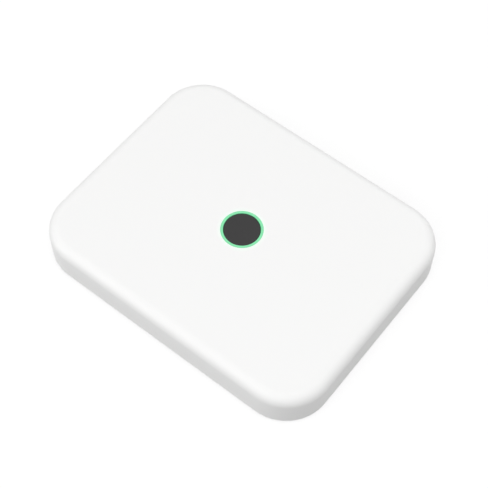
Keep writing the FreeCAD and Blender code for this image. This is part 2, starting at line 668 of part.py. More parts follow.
def top_housing():
    """The moulded top and sides: a rolled edge, hollow inside, with bosses and port openings."""
    piece = Piece("top_housing")
    outline = ("0", "0", "Sizes.body_length", "Sizes.body_width", "Sizes.corner_radius")
    piece.grow(piece.profile("Z", FLOOR).rounded(*outline), "Sizes.body_height")
    piece.round_off(piece.edges(TOP), "Sizes.roll_radius")
    piece.round_off(piece.edges(FLOOR), "Sizes.base_radius")

    cavity = piece.profile("Z", FLOOR)
    cavity.rounded("0", "0", f"2 * {INNER_X}", f"2 * {INNER_Y}", INNER_CORNER)
    piece.cut(cavity, f"{CEILING} - {FLOOR}")
    piece.round_off(piece.edges(CEILING), INNER_ROLL)
    rim = piece.profile("Z", FLOOR)
    rim.rounded("0", "0", "Sizes.body_length - 2 * Sizes.rim_wall",
                "Sizes.body_width - 2 * Sizes.rim_wall", "Sizes.corner_radius - Sizes.rim_wall")
    piece.cut(rim, "Sizes.cover_thickness + Sizes.cover_gap")

    # bosses for the cover screws, each tied to the side wall by a rib
    piece.grow(piece.profile("Z", BOSS_BOTTOM).circles(CORNERS, "Sizes.corner_boss / 2"),
               f"{CEILING} - {BOSS_BOTTOM}")
    wall_ribs(piece, CORNERS, LIP_TOP, f"{INNER_X} - Sizes.boss_rib / 2")
    pilots = piece.profile("Z", BOSS_BOTTOM).circles(CORNERS, PILOT)
    pilot_depth = "Sizes.cover_screw_length - Sizes.screw_land + Sizes.pilot_spare"
    piece.cut(pilots, pilot_depth)

    # bosses that the board hangs from, the four beside the walls ribbed as well
    board_bosses = piece.profile("Z", BOARD_TOP).circles(BOARD_FIXINGS, "Sizes.board_boss / 2")
    piece.grow(board_bosses, "Sizes.board_drop")
    wall_ribs(piece, BOARD_FIXINGS[:4], BOARD_TOP, f"{INNER_X} + Sizes.rib_bite")
    threads = piece.profile("Z", BOARD_TOP).circles(BOARD_FIXINGS, PILOT)
    board_grip = "Sizes.board_screw_length - Sizes.ear_thickness - Sizes.board_thickness"
    piece.cut(threads, f"{board_grip} + Sizes.pilot_spare / 2")

    # windows for the snap hooks of the cover
    windows = piece.profile("Z", f"{COVER_TOP} + Sizes.hook_rise - Sizes.hook_play")
    for axis, side, middle in hook_places():
        face = INNER_X if axis == "X" else INNER_Y
        deep = f"{face} + Sizes.hook_reach - Sizes.lip_gap + Sizes.hook_play"
        hook_rectangle(windows, axis, side, middle, f"{face} - Sizes.hook_play", deep,
                       "Sizes.hook_play")
    piece.cut(windows, "Sizes.hook_height + 2 * Sizes.hook_play")

    # round hole for the light ring
    piece.cut(piece.profile("Z", CEILING).circle("0", "0", f"{RING_OUTER} + Sizes.ring_gap"),
              "Sizes.top_wall * 2")

    # room for the top of the network jack in the rounded inner edge
    jack = "(Sizes.lan_width / 2 + Sizes.jack_gap)"
    room = piece.profile("Z", LAN_BOTTOM)
    room.rectangle(f"{LAN_PLACE} - {jack}", f"{LAN_PLACE} + {jack}",
                   f"{INNER_Y} - Sizes.jack_pocket", INNER_Y)
    piece.cut(room, f"{LAN_HEIGHT} + Sizes.jack_gap")

    # openings in the port side
    outside = f"{HALF_WIDTH} + Sizes.side_wall"
    through = "Sizes.side_wall * 3"
    piece.cut(piece.profile("Y", outside).stadium(
        USB_PLACE, USB_LEVEL, "Sizes.usb_length + 2 * Sizes.usb_gap",
        "Sizes.usb_height + 2 * Sizes.usb_gap"), through, -1)
    piece.cut(lan_mouth(piece.profile("Y", outside), "Sizes.mouth_gap"), through, -1)
    piece.cut(piece.profile("Y", outside).stadium(
        BUTTON_PLACE, BUTTON_LEVEL, "Sizes.button_length + 2 * Sizes.button_gap",
        "Sizes.button_height + 2 * Sizes.button_gap"), through, -1)
    piece.cut(piece.profile("Y", outside).circle(
        RESET_PLACE, BUTTON_LEVEL, "Sizes.reset_hole / 2"), through, -1)

    # stepped slot for the SIM tray
    seat = piece.profile("X", f"-({HALF_LENGTH} + Sizes.side_wall)")
    seat.rounded(SIM_PLACE, TRAY_LEVEL, "Sizes.face_width + 2 * Sizes.face_gap",
                 "Sizes.face_height + 2 * Sizes.face_gap", "Sizes.face_corner")
    piece.cut(seat, "Sizes.side_wall + Sizes.face_thickness")
    half_slot = f"({TRAY_WIDTH} / 2 + Sizes.tray_gap)"
    slot = piece.profile("X", f"-({HALF_LENGTH} + Sizes.side_wall)")
    slot.rectangle(f"{SIM_PLACE} - {half_slot}", f"{SIM_PLACE} + {half_slot}",
                   f"{TRAY_BOTTOM} - Sizes.tray_gap",
                   f"{TRAY_BOTTOM} + Sizes.tray_thickness + Sizes.tray_gap")
    piece.cut(slot, "Sizes.side_wall * 3")
    return piece


def bottom_cover():
    """The cover: a plate in the rim, a lip with snap hooks, screw seats and foot recesses."""
    piece = Piece("bottom_cover")
    inset = "(Sizes.rim_wall + Sizes.cover_gap)"
    plate_profile = piece.profile("Z", FLOOR)
    plate_profile.rounded("0", "0", f"Sizes.body_length - 2 * {inset}",
                          f"Sizes.body_width - 2 * {inset}", f"Sizes.corner_radius - {inset}")
    piece.grow(plate_profile, "Sizes.cover_thickness")
    piece.round_off(piece.edges(FLOOR), "Sizes.cover_edge", "Chamfer")

    lip = piece.profile("Z", COVER_TOP)
    for edge in ("Sizes.lip_gap", "(Sizes.lip_gap + Sizes.lip_thickness)"):
        lip.rounded("0", "0", f"2 * ({INNER_X} - {edge})", f"2 * ({INNER_Y} - {edge})",
                    f"{INNER_CORNER} - {edge}")
    piece.grow(lip, "Sizes.lip_height")
    hooks = piece.profile("Z", f"{COVER_TOP} + Sizes.hook_rise")
    for axis, side, middle in hook_places():
        face = f"({INNER_X if axis == 'X' else INNER_Y} - Sizes.lip_gap)"
        root = f"{face} - Sizes.lip_thickness / 2"
        hook_rectangle(hooks, axis, side, middle, root, f"{face} + Sizes.hook_reach", "0")
    piece.grow(hooks, "Sizes.hook_height")

    # stiffening ribs in the two bays beside the battery
    ribs = piece.profile("Z", COVER_TOP)
    near = f"{BAY_X} + Sizes.carrier_wall + Sizes.cover_rib_margin"
    far = f"{INNER_X} - Sizes.lip_gap - Sizes.lip_thickness / 2"
    for side in ("-", ""):
        for step in (-1, 0, 1):
            middle = f"{step} * Sizes.cover_rib_pitch"
            low, high = (f"-({far})", f"-({near})") if side else (near, far)
            ribs.rectangle(low, high, f"{middle} - Sizes.cover_rib / 2",
                           f"{middle} + Sizes.cover_rib / 2")
    piece.grow(ribs, "Sizes.cover_rib_height")

    # screw seats: a pad inside, a foot recess outside, a sunk head and a clear hole
    seat_radius = "(Sizes.head_diameter / 2 + Sizes.head_gap + Sizes.cover_thickness)"
    piece.grow(piece.profile("Z", COVER_TOP).circles(CORNERS, seat_radius),
               f"{BOSS_BOTTOM} - {COVER_TOP}")
    foot_recess = "Sizes.foot_diameter / 2 + Sizes.foot_gap"
    head_recess = "Sizes.head_diameter / 2 + Sizes.head_gap"
    steps = ((foot_recess, FOOT_SEAT), (head_recess, HEAD_TOP), (SCREW_HOLE, BOSS_BOTTOM))
    for radius, top in steps:
        piece.cut(piece.profile("Z", FLOOR).circles(CORNERS, radius), f"{top} - {FLOOR}")

    # room in the lip for the network jack and the flange of the power button
    jack = "(Sizes.lan_width / 2 + Sizes.mouth_gap)"
    flange = "(Sizes.button_length / 2 + Sizes.flange_overlap + Sizes.mouth_gap)"
    notch = piece.profile("Z", COVER_TOP)
    for place, half in ((LAN_PLACE, jack), (BUTTON_PLACE, flange)):
        notch.rectangle(f"{place} - {half}", f"{place} + {half}",
                        f"{INNER_Y} - 2 * Sizes.lip_thickness", HALF_WIDTH)
    piece.cut(notch, "Sizes.lip_height")
    return piece


def feet():
    """Four soft round feet, glued in the recesses of the cover over the screw heads."""
    for (x, y), name in zip(CORNERS, ("front_left", "rear_left", "front_right", "rear_right")):
        foot = Piece(f"foot_{name}", x, y, "0")
        disc = foot.profile().circle("0", "0", "Sizes.foot_diameter / 2")
        foot.grow(disc, "Sizes.foot_thickness")
        foot.round_off(foot.edges("0"), "Sizes.foot_edge", "Chamfer")


def screws(label, places, seat, length):
    """Cross-head screws driven upwards, their heads bearing on a seat from below."""
    piece = Piece(label, z=seat)
    piece.grow(piece.profile().circles(places, "Sizes.head_diameter / 2"), "Sizes.head_height", -1)
    piece.grow(piece.profile().circles(places, "Sizes.screw_diameter / 2"), length)
    drive = piece.profile("Z", "-Sizes.head_height")
    arm, blade = "Sizes.drive_size / 2", "Sizes.drive_slot / 2"
    star = [(arm, blade), (blade, blade), (blade, arm)]
    cross = []
    for sx, sy, order in (("", "", 1), ("-", "", -1), ("-", "-", 1), ("", "-", -1)):
        cross += [(f"{sx}{x}", f"{sy}{y}") for x, y in star[::order]]
    for x, y in places:
        drive.polygon([(f"{x} + {dx}", f"{y} + {dy}") for dx, dy in cross])
    piece.cut(drive, "Sizes.drive_depth")


# ---------------------------------------------------------------------------------------------
# Status light: lens, light ring, light guide and lamps
# ---------------------------------------------------------------------------------------------
def status_light():
    """The round lens in its light ring, lit from below through a guide in a shroud."""
    lens = Piece("status_lens", z=f"{TOP} - Sizes.lens_thickness")
    lens.grow(lens.profile().circle("0", "0", LENS_RADIUS), "Sizes.lens_thickness")
    lens.round_off(lens.edges("Sizes.lens_thickness"), "Sizes.lens_chamfer", "Chamfer")

    bore = f"({RING_INNER} - Sizes.ring_shoulder)"
    tape = Piece("lens_tape", z=SHOULDER)
    tape.grow(tape.profile().circle("0", "0", LENS_RADIUS).circle("0", "0", bore),
              "Sizes.tape_thickness")

    ring = Piece("light_ring")
    ring.turn(ring.profile("Y").polygon([
        (bore, FLANGE_BOTTOM), (FLANGE_RADIUS, FLANGE_BOTTOM), (FLANGE_RADIUS, CEILING),
        (RING_OUTER, CEILING), (RING_OUTER, TOP), (RING_INNER, TOP),
        (RING_INNER, SHOULDER), (bore, SHOULDER),
    ]))

    guide = Piece("light_guide", z=f"{FLANGE_BOTTOM} - Sizes.guide_gap - Sizes.guide_thickness")
    washer = guide.profile().circle("0", "0", FLANGE_RADIUS).circle("0", "0", "Sizes.guide_inner")
    guide.grow(washer, "Sizes.guide_thickness")
    dimple = guide.profile().circle("Sizes.led_circle", "0", "Sizes.led_length / 2")
    dimple = guide.cut(dimple, "Sizes.dimple_depth")
    guide.repeat_round([dimple], "Sizes.led_count")

    shroud = Piece("light_shroud", z=f"{BOARD_TOP} + Sizes.shroud_lift")
    tube = shroud.profile().circle("0", "0", f"{SHROUD_INNER} + Sizes.shroud_wall")
    tube.circle("0", "0", SHROUD_INNER)
    rim = f"{FLANGE_BOTTOM} + Sizes.flange_thickness / 2"
    shroud.grow(tube, f"{rim} - {BOARD_TOP} - Sizes.shroud_lift")

    lamps = Piece("status_leds", z=BOARD_TOP)
    half_long, half_wide = "Sizes.led_width / 2", "Sizes.led_length / 2"
    lamp = lamps.grow(lamps.profile().rectangle(
        f"Sizes.led_circle - {half_long}", f"Sizes.led_circle + {half_long}",
        f"-{half_wide}", half_wide), "Sizes.led_height")
    lamps.repeat_round([lamp], "Sizes.led_count")


# ---------------------------------------------------------------------------------------------
# Main board and what it carries
# ---------------------------------------------------------------------------------------------
def main_board():
    """The board: round corners, side notches for the corner bosses and a bay for the jack."""
    piece = Piece("main_board", z=BOARD_BOTTOM)
    outline = piece.profile()
    outline.rounded("0", f"({BOARD_FRONT} + {BOARD_REAR}) / 2", f"2 * {BOARD_X}",
                    f"{BOARD_REAR} - ({BOARD_FRONT})", "Sizes.board_corner")
    piece.grow(outline, "Sizes.board_thickness")
    reach = "(Sizes.corner_boss / 2 + Sizes.notch_gap)"
    length = f"2 * (Sizes.foot_inset + {reach})"
    for x, y in CORNERS:
        outward, inward = ("-", "+") if x.startswith("-") else ("+", "-")
        notch = piece.profile()
        notch.stadium(f"{x} {outward} {length} / 2 {inward} {reach}", y, length, f"2 * {reach}")
        piece.cut(notch, "Sizes.board_thickness")
    bay = piece.profile()
    half = "(Sizes.lan_width / 2 + Sizes.jack_gap)"
    bay.rectangle(f"{LAN_PLACE} - {half}", f"{LAN_PLACE} + {half}",
                  f"{LAN_FRONT} - Sizes.lan_depth - Sizes.jack_gap", HALF_WIDTH)
    piece.cut(bay, "Sizes.board_thickness")
    piece.cut(piece.profile().circles(BOARD_FIXINGS, SCREW_HOLE), "Sizes.board_thickness")


def shielding():
    """Three shield cans with the chips under them and thermal pads on top."""
    length = f"({CAN_OUTER} - {CAN_INNER})"
    middle = f"(({CAN_OUTER} + {CAN_INNER}) / 2)"
    split = "Sizes.can_split - Sizes.can_split_gap / 2"
    resume = "Sizes.can_split + Sizes.can_split_gap / 2"
    end_chips = {
        "modem": f"({CAN_FRONT} + Sizes.modem_chip_inset + Sizes.modem_chip_side / 2)",
        "memory": f"({CAN_REAR} - Sizes.memory_chip_inset - Sizes.memory_chip_side / 2)",
    }
    # name: side of the light, front end, rear end, chips inside
    cans = {
        "modem": ("-", CAN_FRONT, CAN_REAR, ("modem", "memory")),
        "wifi": ("", CAN_FRONT, split, ("wifi",)),
        "power": ("", resume, CAN_REAR, ("power",)),
    }
    for name, (side, front, rear, chips) in cans.items():
        x, y = f"{side}{middle}", f"(({front} + {rear}) / 2)"
        width = f"({rear} - ({front}))"
        can = plate(f"{name}_shield", x, y, BOARD_TOP, length, width, "Sizes.can_height",
                    "Sizes.can_corner")
        can.round_off(can.edges("Sizes.can_height"), "Sizes.can_edge")
        inner = can.profile()
        inner.rounded("0", "0", f"{length} - 2 * Sizes.can_wall", f"{width} - 2 * Sizes.can_wall",
                      "Sizes.can_corner - Sizes.can_wall")
        can.cut(inner, "Sizes.can_height - Sizes.can_wall")
        plate(f"{name}_thermal_pad", x, y, CAN_TOP, f"{length} - 2 * Sizes.pad_margin",
              f"{width} - 2 * Sizes.pad_margin", "Sizes.pad_thickness", "Sizes.can_corner")
        for chip in chips:
            side_length = f"Sizes.{chip}_chip_side"
            plate(f"{chip}_chip", x, end_chips.get(chip, y), BOARD_TOP, side_length,
                  side_length, f"Sizes.{chip}_chip_height", "Sizes.chip_corner")
    plate("lan_transformer", f"{LAN_PLACE} - Sizes.transformer_offset",
          f"{HALF_WIDTH} - Sizes.transformer_inset", BOARD_TOP, "Sizes.transformer_length",
          "Sizes.transformer_width", "Sizes.transformer_height", "Sizes.chip_corner")


def heat_spreader():
    """A thin metal sheet bonded under the ceiling, with a hole round the light ring."""
    front = f"(Sizes.spreader_front_inset - {HALF_WIDTH})"
    rear = f"({HALF_WIDTH} - Sizes.spreader_rear_inset)"
    middle = f"(({front} + {rear}) / 2)"
    spreader = plate("heat_spreader", "0", middle, SPREADER_BOTTOM,
                     f"2 * ({SIDE_BOSS_X} - Sizes.spreader_boss_gap)", f"{rear} - {front}",
                     "Sizes.spreader_thickness", "Sizes.spreader_corner")
    hole = f"{SHROUD_INNER} + Sizes.shroud_wall + Sizes.spreader_clearance"
    spreader.cut(spreader.profile().circle("0", f"-{middle}", hole),
                 "Sizes.spreader_thickness")


# ---------------------------------------------------------------------------------------------
# Ports
# ---------------------------------------------------------------------------------------------
def solder_tabs(profile, near, far, kind):
    """Two flat tabs on each side of a connector shell, seen from above, behind its mouth."""
    for step in ("0", f"{kind}_pitch"):
        front = f"-({kind}_front + {step})"
        for low, high in ((f"-{far}", f"-{near}"), (near, far)):
            profile.rectangle(low, high, f"{front} - {kind}_width", front)


def usb_port():
    """The USB-C receptacle: a folded shell and an insert with its tongue."""
    shell = Piece("usb_shell", USB_PLACE, USB_FRONT, USB_LEVEL)
    wall = shell.profile("Y").stadium("0", "0", "Sizes.usb_length", "Sizes.usb_height")
    inner = ("Sizes.usb_length - 2 * Sizes.usb_wall", "Sizes.usb_height - 2 * Sizes.usb_wall")
    wall.stadium("0", "0", *inner)
    shell.grow(wall, "Sizes.usb_depth", -1)
    tabs = shell.profile("Z", "Sizes.usb_height / 2 - Sizes.usb_wall")
    near = "((Sizes.usb_length - Sizes.usb_height) / 2)"
    far = "(Sizes.usb_length / 2 + Sizes.usb_tab_reach)"
    solder_tabs(tabs, near, far, "Sizes.usb_tab")
    shell.grow(tabs, "Sizes.usb_wall")

    insert = Piece("usb_insert", USB_PLACE, USB_FRONT, USB_LEVEL)
    root = "(Sizes.usb_depth - Sizes.tongue_length - Sizes.usb_recess)"
    base = insert.profile("Y", "-Sizes.usb_depth").stadium("0", "0", *inner)
    insert.grow(base, root)
    half, thick = "Sizes.tongue_width / 2", "Sizes.tongue_height / 2"
    tongue = insert.profile("Y", f"{root} - Sizes.usb_depth")
    tongue.rectangle(f"-{half}", half, f"-{thick}", thick)
    insert.grow(tongue, "Sizes.tongue_length")


def network_port():
    """The network jack: a metal can, a moulded insert and eight sprung contacts."""
    shell = Piece("lan_shield", LAN_PLACE, LAN_FRONT, LAN_BOTTOM)
    half = "Sizes.lan_width / 2"
    shell.grow(shell.profile("Y").rectangle(f"-{half}", half, "0", LAN_HEIGHT),
               "Sizes.lan_depth", -1)
    inside = f"{half} - Sizes.lan_wall"
    hollow = shell.profile("Y").rectangle(f"-({inside})", inside, "Sizes.lan_wall",
                                          f"{LAN_HEIGHT} - Sizes.lan_wall")
    shell.cut(hollow, "Sizes.lan_depth - Sizes.lan_wall", -1)
    wings = shell.profile("Z", f"{BOARD_TOP} - {LAN_BOTTOM}")
    solder_tabs(wings, f"({half} - Sizes.lan_wall / 2)", f"({half} + Sizes.wing_reach)",
                "Sizes.wing")
    shell.grow(wings, "Sizes.lan_wall")

    insert = Piece("lan_insert")
    seat = "(Sizes.lan_wall + Sizes.plunger_gap)"
    reach = f"{half} - {seat}"
    block = insert.profile("Y", LAN_FRONT)
    block.rectangle(f"{LAN_PLACE} - ({reach})", f"{LAN_PLACE} + {reach}",
                    f"{LAN_BOTTOM} + {seat}", f"{LAN_BOTTOM} + {LAN_HEIGHT} - {seat}")
    insert.grow(block, f"Sizes.lan_depth - {seat}", -1)
    insert.cut(lan_mouth(insert.profile("Y", LAN_FRONT), "0"), "Sizes.plug_depth", -1)

    contacts = Piece("lan_contacts")
    first = f"{LAN_PLACE} - Sizes.contact_pitch * (Sizes.contact_count - 1) / 2"
    wire = contacts.profile("X", f"{first} - Sizes.contact_width / 2")
    front, back = f"{LAN_FRONT} - Sizes.side_wall", f"{LAN_FRONT} - Sizes.contact_reach"
    thick, low = "Sizes.contact_thickness", f"{PLUG_TOP} - Sizes.contact_drop"
    wire.polygon([(front, PLUG_TOP), (back, low), (back, f"{low} + {thick}"),
                  (f"{front} - 2 * {thick}", PLUG_TOP)])
    wire = contacts.grow(wire, "Sizes.contact_width")
    contacts.repeat_along([wire], "X", "Sizes.contact_pitch", "Sizes.contact_count")


# ---------------------------------------------------------------------------------------------
# Power button, reset and the switches behind them
# ---------------------------------------------------------------------------------------------
def power_button():
    """The button cap, held behind the wall by its flange, with a nub towards the switch."""
    button = Piece("power_button", BUTTON_PLACE, INNER_Y, BUTTON_LEVEL)
    cap = button.profile("Y").stadium("0", "0", "Sizes.button_length", "Sizes.button_height")
    button.grow(cap, "Sizes.side_wall + Sizes.button_proud")
    face = "Sizes.side_wall + Sizes.button_proud"
    button.round_off(button.edges(face, axis="Y"), "Sizes.button_proud / 2")
    flange = button.profile("Y").stadium("0", "0", "Sizes.button_length + 2 * Sizes.flange_overlap",
                                         "Sizes.button_height + 2 * Sizes.flange_overlap")
    button.grow(flange, "Sizes.button_flange", -1)
    half, thick = "Sizes.nub_width / 2", "Sizes.nub_height / 2"
    nub = button.profile("Y", "-Sizes.button_flange")
    nub.rectangle(f"-{half}", half, f"-{thick}", thick)
    button.grow(nub, f"{FLANGE_FACE} - {PLUNGER_TIP} - Sizes.press_gap", -1)


def side_switch(name, place, length):
    """A side-acting switch hanging under the board's edge, and its plunger."""
    body = Piece(f"{name}_switch", place, SWITCH_FACE, BOARD_BOTTOM)
    half = f"({length}) / 2"
    body.grow(body.profile("Y").rectangle(f"-{half}", half, "-Sizes.switch_height", "0"),
              "Sizes.switch_depth", -1)
    body.round_off(body.edges("-Sizes.switch_height"), "Sizes.chip_corner")
    level = f"({BUTTON_LEVEL} - {BOARD_BOTTOM})"
    well = body.profile("Y")
    well.rounded("0", level, "Sizes.plunger_width + 2 * Sizes.plunger_gap",
                 "Sizes.plunger_height + 2 * Sizes.plunger_gap", "Sizes.chip_corner")
    body.cut(well, "Sizes.plunger_seat + Sizes.press_travel + Sizes.press_gap", -1)

    plunger = Piece(f"{name}_plunger", place, SWITCH_FACE, BUTTON_LEVEL)
    stem = plunger.profile("Y", "-Sizes.plunger_seat")
    stem.rounded("0", "0", "Sizes.plunger_width", "Sizes.plunger_height", "Sizes.chip_corner")
    plunger.grow(stem, "Sizes.plunger_seat + Sizes.plunger_reach")


# ---------------------------------------------------------------------------------------------
# SIM tray
# ---------------------------------------------------------------------------------------------
def sim_slot():
    """The hand-pulled tray with its card, and the folded socket under the board."""
    tray = Piece("sim_tray", f"-{HALF_LENGTH}", SIM_PLACE, TRAY_BOTTOM)
    half = f"{TRAY_WIDTH} / 2"
    blade_end = f"{TRAY_END} + {HALF_LENGTH}"
    tray.grow(tray.profile().rectangle("Sizes.face_thickness / 2", blade_end, f"-{half}", half),
              "Sizes.tray_thickness")
    face = tray.profile("X").rounded("0", "Sizes.tray_thickness / 2", "Sizes.face_width",
                                     "Sizes.face_height", "Sizes.face_corner")
    tray.grow(face, "Sizes.face_thickness")
    groove = tray.profile("X").stadium("0", "Sizes.tray_thickness / 2", "Sizes.face_width / 2",
                                       "Sizes.tray_thickness")
    tray.cut(groove, "Sizes.nail_groove")
    start = "Sizes.tray_lead"
    end = f"{start} + Sizes.sim_length + 2 * Sizes.sim_gap"
    across = "(Sizes.sim_width / 2 + Sizes.sim_gap)"
    bed = tray.profile("Z", "Sizes.tray_thickness")
    bed.rectangle(start, end, f"-{across}", across)
    tray.cut(bed, "Sizes.sim_thickness + Sizes.card_sink", -1)
    window = tray.profile()
    window.rectangle(f"{start} + Sizes.tray_ledge", f"{end} - Sizes.tray_ledge",
                     f"-{across} + Sizes.tray_ledge", f"{across} - Sizes.tray_ledge")
    tray.cut(window, "Sizes.tray_thickness")

    card_floor = f"{TRAY_BOTTOM} + Sizes.tray_thickness - Sizes.sim_thickness - Sizes.card_sink"
    card = Piece("sim_card", f"{CARD_START} + Sizes.sim_gap", SIM_PLACE, card_floor)
    edge = "Sizes.sim_width / 2"
    card.grow(card.profile().polygon([
        ("0", f"-{edge}"), ("Sizes.sim_length", f"-{edge}"),
        ("Sizes.sim_length", f"{edge} - Sizes.sim_corner"),
        ("Sizes.sim_length - Sizes.sim_corner", edge), ("0", edge),
    ]), "Sizes.sim_thickness")

    socket_start = f"(-{BOARD_X} + Sizes.socket_gap)"
    socket = Piece("sim_socket", socket_start, SIM_PLACE, BOARD_BOTTOM)
    outer = f"({TRAY_WIDTH} / 2 + Sizes.socket_gap / 2 + Sizes.socket_wall)"
    depth = f"({TRAY_END} - {socket_start} + Sizes.tray_gap + Sizes.socket_wall)"
    socket.grow(socket.profile("X").rectangle(f"-{outer}", outer, f"-{SOCKET_HEIGHT}", "0"), depth)
    inner = f"({outer} - Sizes.socket_wall)"
    throat = socket.profile("X").rectangle(f"-{inner}", inner,
                                           f"-{SOCKET_HEIGHT} + Sizes.socket_wall",
                                           "-Sizes.socket_wall")
    socket.cut(throat, f"{depth} - Sizes.socket_wall")


# ---------------------------------------------------------------------------------------------
# Battery, its carrier and its lead
# ---------------------------------------------------------------------------------------------
def battery():
    """The pouch cell with its protection strip, lead, socket and the tape that holds it."""
    cell = Piece("battery_cell", "0", BATTERY_MIDDLE, BATTERY_BOTTOM)
    cell.grow(cell.profile().rounded("0", "0", f"2 * {BATTERY_X}", BATTERY_WIDTH,
                                     "Sizes.battery_corner"), BATTERY_HEIGHT)
    cell.round_off(cell.edges("0") + cell.edges(BATTERY_HEIGHT), "Sizes.battery_edge")

    strip = f"2 * ({BATTERY_X} - Sizes.protection_margin)"
    middle = f"({PACK_REAR} - Sizes.protection_width / 2)"
    lift = f"{BATTERY_LEVEL} - Sizes.protection_height / 2"
    plate("battery_board", "0", middle, lift, strip, "Sizes.protection_width",
          "Sizes.protection_height", "Sizes.chip_corner")
    plate("battery_tape", "0", BATTERY_MIDDLE, f"{CARRIER_BOTTOM} - Sizes.battery_tape",
          f"2 * ({BATTERY_X} - Sizes.tape_margin)", f"{BATTERY_WIDTH} - 2 * Sizes.tape_margin",
          "Sizes.battery_tape", "Sizes.battery_corner")

    riser = f"({PACK_REAR} + Sizes.flex_reach)"
    socket_bottom = f"({BOARD_BOTTOM} - Sizes.battery_socket_height)"
    low = BATTERY_LEVEL
    flex = Piece("battery_flex", "Sizes.flex_place")
    strip = flex.profile("X", "-Sizes.flex_width / 2")
    skin = "Sizes.flex_thickness"
    strip.polygon([
        (PACK_REAR, low), (riser, low), (riser, f"{socket_bottom} - {skin}"),
        (f"{riser} + Sizes.flex_seat", f"{socket_bottom} - {skin}"),
        (f"{riser} + Sizes.flex_seat", socket_bottom), (f"{riser} - {skin}", socket_bottom),
        (f"{riser} - {skin}", f"{low} + {skin}"), (PACK_REAR, f"{low} + {skin}"),
    ])
    flex.grow(strip, "Sizes.flex_width")
    plate("battery_socket", "Sizes.flex_place", f"{riser} + Sizes.flex_seat / 2", socket_bottom,
          "Sizes.flex_width + 2 * Sizes.socket_gap", "Sizes.flex_seat",
          "Sizes.battery_socket_height", "Sizes.chip_corner")


def mid_frame():
    """The carrier: a plate over the battery, walls round it and ears under the board screws."""
    piece = Piece("mid_frame")
    wall = "Sizes.carrier_wall"
    middle = f"({BAY_FRONT} + {BAY_REAR}) / 2"
    outer = ("0", middle, f"2 * ({BAY_X} + {wall})", f"{BAY_REAR} - {BAY_FRONT} + 2 * {wall}",
             "Sizes.carrier_corner")
    piece.grow(piece.profile("Z", CARRIER_BOTTOM).rounded(*outer), "Sizes.carrier_plate")
    floor = f"({COVER_TOP} + Sizes.carrier_floor_gap)"
    ring = piece.profile("Z", floor).rounded(*outer)
    ring.rounded("0", middle, f"2 * {BAY_X}", f"{BAY_REAR} - {BAY_FRONT}",
                 f"Sizes.carrier_corner - {wall}")
    piece.grow(ring, f"{CARRIER_BOTTOM} - {floor}")

    arm = "Sizes.ear_diameter / 2"
    arms = piece.profile("Z", EAR_BOTTOM)
    for x, y in BOARD_FIXINGS[:4]:
        bay = f"{BAY_X} + {wall} / 2"
        low, high = (x, f"-({bay})") if x.startswith("-") else (bay, x)
        arms.rectangle(low, high, f"{y} - {arm}", f"{y} + {arm}")
    for x, y in BOARD_FIXINGS[4:]:
        arms.rectangle(f"{x} - {arm}", f"{x} + {arm}", f"{BAY_REAR} + {wall} / 2", y)
    piece.grow(arms, f"{CARRIER_TOP} - {EAR_BOTTOM}")
    ears = piece.profile("Z", EAR_BOTTOM)
    piece.grow(ears.circles(BOARD_FIXINGS, arm), "Sizes.ear_thickness")
    holes = piece.profile("Z", EAR_BOTTOM)
    piece.cut(holes.circles(BOARD_FIXINGS, SCREW_HOLE), "Sizes.ear_thickness")

    gate = piece.profile("Z", floor)
    half = "(Sizes.flex_width / 2 + Sizes.socket_gap)"
    gate.rectangle(f"Sizes.flex_place - {half}", f"Sizes.flex_place + {half}",
                   f"{BAY_REAR} - {wall} / 2", f"{BAY_REAR} + 2 * {wall}")
    piece.cut(gate, f"{BATTERY_LEVEL} + 2 * Sizes.flex_bend - {floor}")


# ---------------------------------------------------------------------------------------------
# Antennas on the walls and their contact springs
# ---------------------------------------------------------------------------------------------
# name: wall axis, side of the housing, feed end and open end along the wall
ANTENNAS = {
    "front_left": ("Y", "-", "-Sizes.front_antenna_start",
                   f"Sizes.front_antenna_end - {HALF_LENGTH}"),
    "front_right": ("Y", "-", "Sizes.front_antenna_start",
                    f"{HALF_LENGTH} - Sizes.front_antenna_end"),
    "front_middle": ("Y", "-", "-Sizes.middle_antenna_half", "Sizes.middle_antenna_half"),
    "left": ("X", "-", f"Sizes.side_antenna_front - {HALF_WIDTH}",
             f"{HALF_WIDTH} - Sizes.side_antenna_rear"),
    "right": ("X", "", f"Sizes.side_antenna_front - {HALF_WIDTH}",
              f"{HALF_WIDTH} - Sizes.side_antenna_rear"),
    "right_rear": ("X", "", f"{HALF_WIDTH} - Sizes.rear_antenna_start",
                   f"{HALF_WIDTH} - Sizes.rear_antenna_end"),
}


